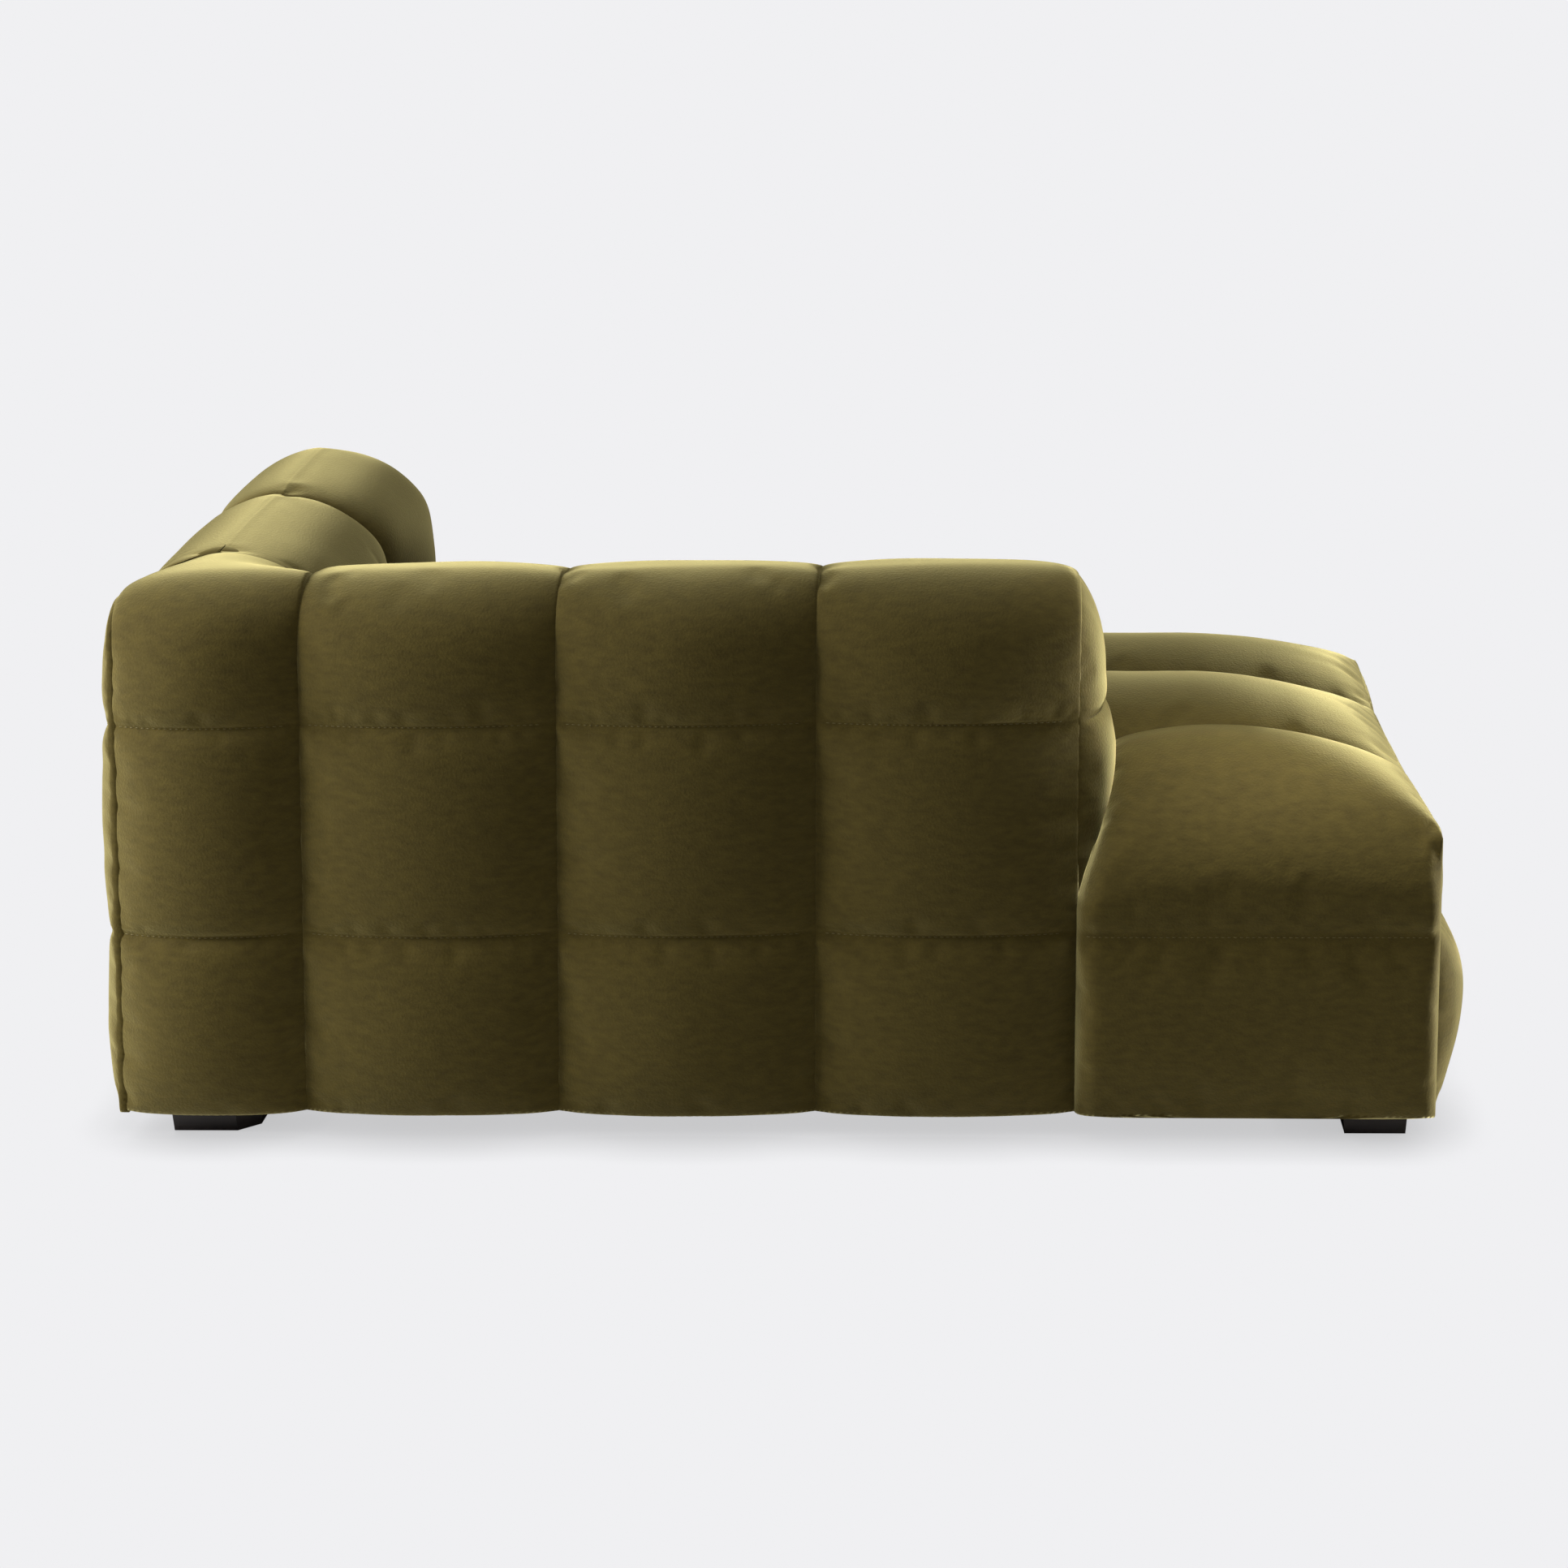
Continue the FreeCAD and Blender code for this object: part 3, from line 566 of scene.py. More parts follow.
def end_panel(name, outline, place, bulge, seed, edge=None):
    """A swollen panel in an outline of (across, height) points; place turns (across, height, out) to 3-D."""
    low = outline[:, 1].min()
    high = outline[:, 1].max()
    middle = (outline[:, 0].min() + outline[:, 0].max()) / 2
    half = (outline[:, 0].max() - outline[:, 0].min()) / 2
    spine = np.stack([np.full(len(outline), middle), outline[:, 1].clip(low + half, high - half)], axis=1)
    share = np.sin(np.linspace(0, math.pi / 2, PANEL_RINGS)) ** RING_CROWD
    mesh = bmesh.new()
    loops = []
    length = run_length(outline)
    for ring in share[::-1]:
        flat = spine + (outline - spine) * ring
        rise = (1 - ring ** RIM_POWER) ** (edge(flat[:, 1]) if edge else RIM_SLOPE)
        out = bulge(flat[:, 1]) * rise
        out = out + puckers(length, (1 - ring) * half, seed, PANEL_PUCKER) * rise ** 0.5
        points = place(flat[:, 0], flat[:, 1], out)
        loops.append([mesh.verts.new(point) for point in points])
    count = len(outline)
    for outer, inner in zip(loops, loops[1:]):
        for k in range(count):
            mesh.faces.new((outer[k], outer[(k + 1) % count], inner[(k + 1) % count], inner[k]))
    back_points = place(outline[:, 0], outline[:, 1], -BACKING_DEPTH)
    back = [mesh.verts.new(point) for point in back_points]
    for k in range(count):
        mesh.faces.new((back[k], back[(k + 1) % count], loops[0][(k + 1) % count], loops[0][k]))
    mesh.faces.new(back[::-1])
    bmesh.ops.remove_doubles(mesh, verts=loops[-1], dist=SPINE_MERGE)
    bmesh.ops.recalc_face_normals(mesh, faces=mesh.faces)
    mesh.verts.index_update()
    pins = [vertex.index for vertex in loops[0] + back]
    return sewn_object(name, smooth_data(name, mesh), pins)


def wall_outline(path, normal, grow, drop, lowest_outer, lowest_inner):
    """The closed outline of a wall's end: up its outside, over the top, down inside and along the foot."""
    over = np.clip(normal[:, 1:2], 0, 1) ** 2
    if callable(grow):
        grow = grow(path[:, 1:2])
    grown = path + normal * (grow * (1 - over) - drop * over)
    outer = path[:, 0] < path[:, 0].mean()
    keep = np.where(outer, path[:, 1] >= lowest_outer, path[:, 1] >= lowest_inner)
    kept = grown[keep]
    end = np.array([kept[-1][0], min(kept[-1][1], lowest_inner)])
    fall = np.linspace(kept[-1], end, steps_for(kept[-1][1] - end[1]))[1:-1]
    foot = np.linspace(end, kept[0], FOOT_STEPS)[:-1]
    return np.concatenate([kept, fall, foot])


CAP_BULGE = 0.045
CAP_OVERLAP = 0.030
CAP_LOW = STITCH_LOW - CAP_OVERLAP
CAP_FULLEST = STITCH_HIGH - 0.054
CAP_TUCK = 0.010
CAP_RIM_LOW = -0.022
CAP_RIM_RISE = 0.018
CAP_RIM_REACH = 0.120
CAP_STEP = 0.007
CAP_STEP_REACH = 0.030
CAP_TOP_LOSS = 0.012
CAP_DIP = 1.2
CAP_TOP_SLOPE = 0.40


def cap_rim(height):
    """How far out the cap's rim stands: just inside the arm's face, and behind the seat's side lower down."""
    return CAP_RIM_LOW + CAP_RIM_RISE * np.clip((height - CAP_LOW) / CAP_RIM_REACH, 0, 1)


def cap_upper(height):
    """How far a height lies between the cap's fullest level and the arm's crest, from 0 to 1."""
    return between(height, CAP_FULLEST, arm_crest)


def cap_bulge(height):
    """How far the cap swells: most below its stitch, with a step at the stitch and less above."""
    swell = CAP_BULGE * np.sin(between(height, CAP_LOW, CAP_FULLEST) * math.pi / 2) ** 1.1
    above = np.clip((height - STITCH_HIGH) / CAP_STEP_REACH, 0, 1)
    swell = swell - CAP_STEP * above - CAP_TOP_LOSS * cap_upper(height)
    return swell - CAP_DIP * stitch_dip(height - STITCH_HIGH)


def cap_edge(height):
    """How gently the cap swells from its rim: briskly at its sides, slowly under the arm's rounded top."""
    return RIM_SLOPE + CAP_TOP_SLOPE * cap_upper(height)


cap_outline = wall_outline(arm_path, arm_normal, cap_rim, FRONT_ROLL[1], CAP_LOW, seat_seam - CAP_TUCK)
piece = end_panel(
    "velvet_arm_cap", cap_outline, lambda across, height, out: sheet(arm_front + out, across, height),
    cap_bulge, 7, cap_edge)
dress(piece, 0.8, "arm_front_cap")
SIDE_BULGE = 0.034
CORNER_BULGE = 0.024
WALL_TOP_LOSS = 0.45


def wall_bulge(most):
    """A function of height: how far a wall's end panel swells, tufted like the wall's face."""
    def bulge(height):
        upper = between(height, STITCH_HIGH, arm_crest)
        share = face_fullness(height, ARM_LEVELS) / (OUTER_FULLNESS + TIER_FULLNESS)
        return most * (1 - WALL_TOP_LOSS * upper) * share
    return bulge


def on_far_side(across, height, out):
    """Points of a panel that swells from the far seam."""
    return sheet(across, far_seam + out, height)


piece = end_panel(
    "velvet_corner_back", wall_outline(corner_path, corner_normal, 0.0, CORNER_ROLL[1], 0, hem),
    lambda across, height, out: sheet(back_seam - out, across, height), wall_bulge(CORNER_BULGE), 9)
dress(piece, 0.8, "corner_channel")
piece = end_panel(
    "velvet_back_end", wall_outline(back_path, back_normal, 0.0, FRONT_ROLL[1], 0, hem), on_far_side,
    wall_bulge(SIDE_BULGE), 13)
dress(piece, 0.8, "back_end_cap")

# %% [markdown]
# The seat is three long channels whose foot ends roll over and pinch down to the seam above the foot border.
# The near one also turns down the side as one smooth panel, so it is drawn as a bent sheet of its own.

# %% Seat channels
ROLL_LENGTH = 0.270
ROLL_POWER = 1.75
SIDE_ROLL = 0.012
SIDE_EDGE = 0.013
NOSE = -0.001
FOOT_SETBACK = 0.013
SETBACK_REACH = 0.30
SETBACK_POWER = 1.5
NOSE_PLACE = 0.03
NOSE_WIDTH = 0.05
NOSE_FADE = 0.01
SEAT_FADE = 0.02
SEAT_CROWD = 0.25
REAR_ROLL = 0.060
REAR_DIP = 0.045
SEAT_RISE_LENGTH = 0.9
SEAT_ARCH = 0.7
END_PUCKER = 1.3
SEAT_UNEVEN = (0.0025, 0.16, 0.13, 20)
FOAM_CLEAR = 0.004
VALLEY_DEPTH = 0.050
SEAT_VALLEY = seat_crown - VALLEY_DEPTH
MIDDLE_DROP = 0.011
MIDDLE_REAR_DROP = 0.025
MIDDLE_POWER = 1.6
FAR_DROP = 0.028
FAR_REAR_DROP = 0.034
seat_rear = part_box("seat_channel_middle")[0].x


def drawn_in(y):
    """How far the foot end's upper seam stands back between the two corners of the seat."""
    return FOOT_SETBACK * (1 - np.abs(y / far_seam) ** SETBACK_POWER)


def setback_share(from_foot):
    """How much of the foot end's setback is left at a distance from that end."""
    return (1 - from_foot / SETBACK_REACH).clip(0, 1)


def seat_piece(name, start, end, crown, rear_crown, far_drop, seed, power=ROLL_POWER):
    """A channel along X between two seams; far_drop lets its far edge fall to the border's seam."""
    share = crowded(steps_for(end - start))
    across = start + (end - start) * share
    along = seat_rear + (foot_seam - seat_rear) * crowded(steps_for(foot_seam - seat_rear), SEAT_CROWD)
    shape = pillow(share, SEAT_ARCH)
    rise = rear_crown + (crown - rear_crown) * np.clip((along - seat_rear) / SEAT_RISE_LENGTH, 0, 1)
    valley = (rise - VALLEY_DEPTH)[:, None]
    far_edge = valley * (1 - far_drop) + seat_seam * far_drop
    edge = np.where(share[None, :] > 0.5, far_edge, valley)
    height = edge + (rise[:, None] - edge) * shape[None, :]
    from_foot = (foot_seam - along)[:, None]
    from_rear = (along - seat_rear)[:, None]
    roll = ease(from_foot / ROLL_LENGTH, power)
    height = seat_seam + (height - seat_seam) * roll
    height = height - REAR_DIP * (1 - ease(from_rear / REAR_ROLL))
    nose = NOSE * shape[None, :] * bump(from_foot - NOSE_PLACE, NOSE_WIDTH)
    rows = along[:, None]
    gather = puckers(rows, np.abs(across - start)[None, :], seed)
    gather = gather + puckers(rows, np.abs(end - across)[None, :], seed + 7)
    gather = gather + puckers(across[None, :], from_foot, seed + 17, END_PUCKER)
    slow = unevenness(rows, across[None, :], SEAT_UNEVEN, seed + 2)
    fade = np.clip(from_foot / SEAT_FADE, 0, 1) * shape[None, :] ** 0.5
    ahead = rows + nose * np.clip(from_foot / NOSE_FADE, 0, 1)
    ahead = ahead - drawn_in(across)[None, :] * setback_share(from_foot)
    grid = sheet(ahead, across[None, :], height + (gather + slow) * fade)
    return closed_piece(name, grid, sheet(rows, np.array([[start, end]]), foam_top + FOAM_CLEAR))


piece = seat_piece(
    "velvet_seat_middle", first_seam, second_seam, seat_crown - MIDDLE_DROP, seat_crown - MIDDLE_REAR_DROP,
    0, 123, MIDDLE_POWER)
dress(piece, 0.85, "seat_channel_middle")
piece = seat_piece(
    "velvet_seat_far", second_seam, far_seam, seat_crown - FAR_DROP, seat_crown - FAR_REAR_DROP, 1, 143)
dress(piece, 0.85, "seat_channel_far")

# %% [markdown]
# The near seat channel starts at the arm's bulging end panel, so its first edge leans with that bulge. Two
# profiles make it: the full body of the channel and the flat seam at the foot end that it closes to.

# %% Near seat channel and its side
NEAR_DROP = 0.003
NEAR_RADIUS = 0.160
NEAR_GIRTH = 0.70
NEAR_POWER = 1.7
NEAR_TOP_FULLNESS = 0.026
NEAR_INNER_CLOSE = 0.090
NEAR_LEAN = 0.040
SIDE_CLOSE = 0.026
TOP_CLOSE = 0.095
NEAR_BACKING = 0.045
EAR_RADIUS = 0.006
CAP_PUCKER = 1.4
FOOT_PUCKER = 1.2
CAP_FADE = 0.010
FOOT_FADE = 0.015
NEAR_CROWD = 0.45
NEAR_UNEVEN = (0.0022, 0.15, 0.12, 70)
near_corners = [(near_seam, hem), (near_seam, seat_crown - NEAR_DROP), (first_seam, SEAT_VALLEY)]
near_count = steps_for(NEAR_GIRTH)
near_path, near_normal = rounded_path(near_corners, [NEAR_RADIUS], near_count)
close_path, close_normal = rounded_path(
    [(near_seam - SIDE_EDGE, hem), (near_seam - SIDE_EDGE, seat_seam), (first_seam, seat_seam)], [EAR_RADIUS],
    near_count)
near_length = np.linspace(0, 1, near_count) * run_length(near_path)[-1]
near_over = np.clip(near_normal[:, 1], 0, 1) ** 2
side_full = face_fullness(near_path[:, 1], [hem, STITCH_LOW, seat_crown])
near_full = (1 - near_over) * side_full + near_over * NEAR_TOP_FULLNESS
near_full = near_full * ease((near_length[-1] - near_length) / NEAR_INNER_CLOSE)
lean_start = STITCH_LOW + CAP_OVERLAP
lean = between(near_path[:, 1], lean_start, CAP_FULLEST)
near_start = arm_front + NEAR_LEAN * np.sin(lean * math.pi / 2) ** 1.3
near_share = crowded(steps_for(foot_seam - arm_front), NEAR_CROWD)
near_x = near_start[:, None] + (foot_seam - near_start)[:, None] * near_share[None, :]
from_foot = foot_seam - near_x
from_cap = near_x - near_start[:, None]
roll_length = SIDE_ROLL + (ROLL_LENGTH - SIDE_ROLL) * near_over[:, None] ** 1.1
body_share = ease(from_foot / roll_length, NEAR_POWER)
cap_close = ease(from_cap / (SIDE_CLOSE + TOP_CLOSE * near_over[:, None]))
offset = -SEAM_SINK + (near_full[:, None] + SEAM_SINK) * cap_close
rows = near_length[:, None]
gather = puckers(rows, from_cap, 163, CAP_PUCKER) + puckers(rows, from_foot, 167, FOOT_PUCKER)
gather = gather + puckers(near_x, near_length[-1] - rows, 171)
slow = unevenness(rows, near_x, NEAR_UNEVEN, 173)
fade = np.clip(from_foot / FOOT_FADE, 0, 1) * np.clip(from_cap / CAP_FADE, 0, 1)
offset = offset + (gather + slow) * fade
body = near_path[:, None] + near_normal[:, None] * offset[..., None]
face = close_path[:, None] + (body - close_path[:, None]) * body_share[..., None]
ahead = near_x - drawn_in(face[..., 0].clip(near_seam, 0)) * setback_share(from_foot)
backing = placed(0, near_x[:, [0, -1]], (close_path - close_normal * NEAR_BACKING)[:, None])
piece = closed_piece("velvet_seat_near", placed(0, ahead, face), backing)
dress(piece, 0.85, "seat_channel_near", "near_side_border")

# %% [markdown]
# Below the seat run bulging borders, tufted once along a stitch line: three across the foot end and four
# along the far side. Each is a rectangle of velvet that pinches at all of its edges.

# %% Foot and far borders
END_BULGE = 0.041
BORDER_TOP_FULLNESS = 0.001
BORDER_FULLNESS = 0.006
BORDER_TOP_LOSS = 0.004
BORDER_SINK = 0.008
BORDER_ARCH = 0.45
BORDER_PUCKER = 1.3
BORDER_UNEVEN = (0.002, 0.12, 0.11, 30)
BORDER_FADE = 0.02


def border_piece(name, start, end, most, place, seed):
    """A tufted border between two upright seams; place turns (across, height, out) to 3-D."""
    share = crowded(steps_for(end - start))
    across = start + (end - start) * share
    height = hem + (seat_seam - hem) * np.linspace(0, 1, steps_for(seat_seam - hem))
    lower = between(height, hem, STITCH_LOW)
    upper = between(height, STITCH_LOW, seat_seam)
    full = BORDER_FULLNESS + (most - BORDER_FULLNESS) * np.sin(math.pi * lower ** 1.3) ** 0.75
    full = full + BORDER_TOP_FULLNESS * np.sin(math.pi * upper)
    full = full - BORDER_TOP_LOSS * upper - CREASE_DEPTH * bump(height - STITCH_LOW, 2 * CREASE_WIDTH)
    shape = pillow(share, BORDER_ARCH)
    rows = height[:, None]
    gather = puckers(rows, (across - start)[None, :], seed, BORDER_PUCKER)
    gather = gather + puckers(rows, (end - across)[None, :], seed + 3, BORDER_PUCKER)
    gather = gather + puckers(across[None, :], np.abs(rows - STITCH_LOW), seed + 5)
    slow = unevenness(rows, across[None, :], BORDER_UNEVEN, seed + 9)
    fade = np.clip((seat_seam - height) / BORDER_FADE, 0, 1)[:, None] * shape[None, :] ** 0.5
    out = -BORDER_SINK + (full[:, None] + BORDER_SINK) * shape[None, :] + (gather + slow) * fade
    back = place(np.array([[start, end]]), rows, -BACKING_DEPTH)
    return closed_piece(name, place(across[None, :], rows, out), back)


def foot_place(across, height, out):
    """Points of a foot border, whose upper part stands back with the seat's end."""
    setback = drawn_in(across) * between(height, STITCH_LOW, seat_seam)
    return sheet(foot_seam + out - setback, across, height)


for (place, start, end), seed in zip(seat_bands, (183, 203, 223)):
    piece = border_piece(f"velvet_foot_{place}", start, end, END_BULGE, foot_place, seed)
    dress(piece, 0.8, f"front_border_{place}")
for number, seed in zip((1, 2, 3, 4), (243, 263, 283, 303)):
    low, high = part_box(f"far_side_border_{number}")
    end = foot_seam if number == 4 else high.x
    piece = border_piece(f"velvet_far_{number}", low.x, end, SIDE_BULGE, on_far_side, seed)
    dress(piece, 0.8, f"far_side_border_{number}")

# %% [markdown]
# Shapes drawn by formula look stiff, so Blender's Cloth finishes them. Seams and stitches hold their points,
# the fabric is given a little spare length, and a slight pressure from inside swells it into soft folds.

# %% Cloth simulation
SIM_FRAMES = 20
SIM_CAP = 0.0045
# A shrink below 0 is the spare length.
CLOTH = {
    "quality": 4, "mass": 0.25, "tension_stiffness": 25, "compression_stiffness": 12, "shear_stiffness": 8,
    "bending_stiffness": 4.0, "use_pressure": True, "uniform_pressure_force": 4.0,
    "vertex_group_mass": "seam", "shrink_min": -0.008}


def swell(pieces):
    """Simulates all pieces together and keeps each point's move, capped softly."""
    scene = bpy.context.scene
    for piece in pieces:
        cloth = piece.modifiers.new("cloth", "CLOTH")
        for setting, value in CLOTH.items():
            setattr(cloth.settings, setting, value)
        cloth.settings.effector_weights.gravity = 0
        cloth.collision_settings.use_collision = False
        cloth.point_cache.frame_start = 1
        cloth.point_cache.frame_end = SIM_FRAMES
    for number in range(1, SIM_FRAMES + 1):
        scene.frame_set(number)
    graph = bpy.context.evaluated_depsgraph_get()
    moves = []
    for piece in pieces:
        swollen = piece.evaluated_get(graph).data
        before = np.empty(len(piece.data.vertices) * 3)
        after = np.empty_like(before)
        piece.data.vertices.foreach_get("co", before)
        swollen.vertices.foreach_get("co", after)
        move = (after - before).reshape(-1, 3)
        reach = np.linalg.norm(move, axis=1).clip(1e-9)[:, None]
        moves.append((before.reshape(-1, 3) + move * SIM_CAP * np.tanh(reach / SIM_CAP) / reach, reach.max()))
    for piece, (points, most) in zip(pieces, moves):
        piece.modifiers.remove(piece.modifiers["cloth"])
        piece.data.vertices.foreach_set("co", points.ravel())
        piece.data.update()
        print(piece.name, "moved up to", round(float(most) * 1000, 1), "mm before the cap")
    scene.frame_set(1)


swell(velvet_pieces)
for piece in velvet_pieces:
    smooth = piece.modifiers.new("smooth", "SUBSURF")
    smooth.levels = 1
    smooth.render_levels = 1
    smooth.use_limit_surface = False

# %% [markdown]
# The cross stitches are real thread: short loops a few millimetres long that lie in the crease. A ray towards
# each piece finds where the fabric ended up, and a small rounded bar joins two such points.

# %% Stitches
STITCH_PITCH = 0.0072
STITCH_LENGTH = 0.0050
THREAD_RADIUS = 0.0005
THREAD_SIDES = 6
ROW_MARGIN = 0.012
RAY_START = 1.5
LOOP_ENDS = (0.4, -0.0006)
LOOP_SHOULDER = (0.95, 0.0001)
LOOP_TOP = (1, 0.0004)
# Each ring of a loop: its share of the way along, its width and its lift.
LOOP = [
    (0, *LOOP_ENDS), (0.2, *LOOP_SHOULDER), (0.5, *LOOP_TOP), (0.8, *LOOP_SHOULDER), (1, *LOOP_ENDS)]
thread = bmesh.new()
graph = bpy.context.evaluated_depsgraph_get()


def add_stitch(start, end, outward):
    """One loop of thread: a thin bar that rises in its middle and dips at both ends."""
    along = (end - start).normalized()
    side = along.cross(outward).normalized()
    rings = []
    for share, width, lift in LOOP:
        centre = start.lerp(end, share) + outward * lift
        turns = [2 * math.pi * k / THREAD_SIDES for k in range(THREAD_SIDES)]
        rings.append([thread.verts.new(
            centre + (side * math.cos(a) + outward * math.sin(a)) * THREAD_RADIUS * width) for a in turns])
    for first, second in zip(rings, rings[1:]):
        for k in range(THREAD_SIDES):
            after = (k + 1) % THREAD_SIDES
            thread.faces.new((first[k], first[after], second[after], second[k]))
    thread.faces.new(rings[0][::-1])
    thread.faces.new(rings[-1])


def sew(name, level, start, end, axis, towards):
    """A row of stitches across a piece at a height: axis runs along the row, towards faces the fabric."""
    fabric = bpy.data.objects[name].evaluated_get(graph)
    count = int((end - start - 2 * ROW_MARGIN) / STITCH_PITCH)
    for k in range(count):
        ends = []
        first = start + ROW_MARGIN + k * STITCH_PITCH
        for spot in (first, first + STITCH_LENGTH):
            origin = Vector((0, 0, level)) - towards * RAY_START
            origin[axis] = spot - (spread(spot, level) if axis == 0 else 0)
            found, spot_hit = fabric.ray_cast(origin, towards)[:2]
            if found:
                ends.append(spot_hit)
        if len(ends) == 2 and (ends[1] - ends[0]).length < 2 * STITCH_LENGTH:
            add_stitch(ends[0], ends[1], -towards)


FROM_NEAR = Vector((0, 1, 0))
FROM_FAR = Vector((0, -1, 0))
FROM_BACK = Vector((1, 0, 0))
FROM_FOOT = Vector((-1, 0, 0))
for level in (STITCH_LOW, STITCH_HIGH):
    for place, start, end in arm_bands:
        sew(f"velvet_arm_{place}", level, start, end, 0, FROM_NEAR)
    sew("velvet_corner", level, back_seam, arm_seams[0], 0, FROM_NEAR)
    for place, start, end in seat_bands[1:]:
        sew(f"velvet_back_{place}", level, start, end, 1, FROM_BACK)
    sew("velvet_corner_back", level, near_seam, first_seam, 1, FROM_BACK)
    sew("velvet_back_end", level, back_seam, back_inner, 0, FROM_FAR)
sew("velvet_arm_cap", STITCH_HIGH, near_seam, arm_inner, 1, FROM_FOOT)
sew("velvet_seat_near", STITCH_LOW, arm_front, foot_seam, 0, FROM_NEAR)
for place, start, end in seat_bands:
    sew(f"velvet_foot_{place}", STITCH_LOW, start, end, 1, FROM_FOOT)
for number in (1, 2, 3, 4):
    low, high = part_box(f"far_side_border_{number}")
    sew(f"velvet_far_{number}", STITCH_LOW, low.x, high.x, 0, FROM_FAR)
thread_mesh = smooth_data("stitch_thread", thread)
stitch_thread = linked("stitch_thread", thread_mesh)
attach(stitch_thread, "root")
print("stitches", len(thread_mesh.vertices) // (THREAD_SIDES * len(LOOP)))

# %% [markdown]
# Several finishes share an effect: blotches where a pile was brushed, a fine tooth on cloth, grain along
# timber. Each effect is one shader node group with its own inputs, so that a material only mixes colours.

# %% Shared shader groups

def shader_group(name, inputs, outputs):
    """An empty shader group with the sockets named in inputs and outputs, and its two end nodes."""
    group = bpy.data.node_groups.new(name, "ShaderNodeTree")
    for socket_name, kind, value in inputs:
        socket = group.interface.new_socket(name=socket_name, in_out="INPUT", socket_type=kind)
        socket.default_value = value
    for socket_name in outputs:
        group.interface.new_socket(name=socket_name, in_out="OUTPUT", socket_type="NodeSocketFloat")
    return group, group.nodes.new("NodeGroupInput"), group.nodes.new("NodeGroupOutput")


def math_node(tree, operation, first, second):
    """A math node on two values or sockets; returns its result."""
    node = tree.nodes.new("ShaderNodeMath")
    node.operation = operation
    for socket, value in zip(node.inputs, (first, second)):
        if isinstance(value, (int, float)):
            socket.default_value = value
        else:
            tree.links.new(value, socket)
    return node.outputs[0]


def stretched(tree, stretch):
    """Object coordinates in metres, drawn out by the stretch."""
    place = tree.nodes.new("ShaderNodeTexCoord")
    mapping = tree.nodes.new("ShaderNodeMapping")
    mapping.inputs["Scale"].default_value = stretch
    tree.links.new(place.outputs["Object"], mapping.inputs["Vector"])
    return mapping.outputs["Vector"]


def noise_node(tree, vector, scale, detail):
    """Noise at a scale, which is a number or a socket; returns its result."""
    node = tree.nodes.new("ShaderNodeTexNoise")
    node.inputs["Detail"].default_value = detail
    tree.links.new(vector, node.inputs["Vector"])
    if isinstance(scale, (int, float)):
        node.inputs["Scale"].default_value = scale
    else:
        tree.links.new(scale, node.inputs["Scale"])
    return node.outputs["Fac"]


mottle_group, mottle_in, mottle_out = shader_group(
    "Mottle", [("Scale", "NodeSocketFloat", 18.0), ("Fine", "NodeSocketFloat", 0.35)], ["Shade"])
mottle_vector = stretched(mottle_group, (1.0, 1.0, 2.4))
mottle_broad = noise_node(mottle_group, mottle_vector, mottle_in.outputs["Scale"], 3.0)
mottle_scale = math_node(mottle_group, "MULTIPLY", mottle_in.outputs["Scale"], 9.0)
mottle_small = noise_node(mottle_group, mottle_vector, mottle_scale, 2.0)
mottle_part = math_node(mottle_group, "MULTIPLY", mottle_small, mottle_in.outputs["Fine"])
mottle_rest = math_node(mottle_group, "SUBTRACT", 1.0, mottle_in.outputs["Fine"])
mottle_main = math_node(mottle_group, "MULTIPLY", mottle_broad, mottle_rest)
mottle_group.links.new(math_node(mottle_group, "ADD", mottle_part, mottle_main), mottle_out.inputs["Shade"])

tooth_group, tooth_in, tooth_out = shader_group("Tooth", [("Scale", "NodeSocketFloat", 900.0)], ["Height"])
tooth_vector = stretched(tooth_group, (1.0, 1.0, 1.0))
tooth_group.links.new(
    noise_node(tooth_group, tooth_vector, tooth_in.outputs["Scale"], 2.0), tooth_out.inputs["Height"])

grain_group, grain_in, grain_out = shader_group("Grain", [("Scale", "NodeSocketFloat", 60.0)], ["Shade"])
grain_vector = stretched(grain_group, (0.08, 1.0, 1.0))
grain_group.links.new(
    noise_node(grain_group, grain_vector, grain_in.outputs["Scale"], 6.0), grain_out.inputs["Shade"])
print("groups", [group.name for group in bpy.data.node_groups])

# %% [markdown]
# A finish is a dark and a light colour mixed by one of the groups, with a fine relief on top. Velvet adds
# sheen: its upright pile looks dark face on and pale where the eye skims it.

# %% Materials
RAMP_LOW = 0.30
RAMP_HIGH = 0.70
RELIEF_DEPTH = 0.0006


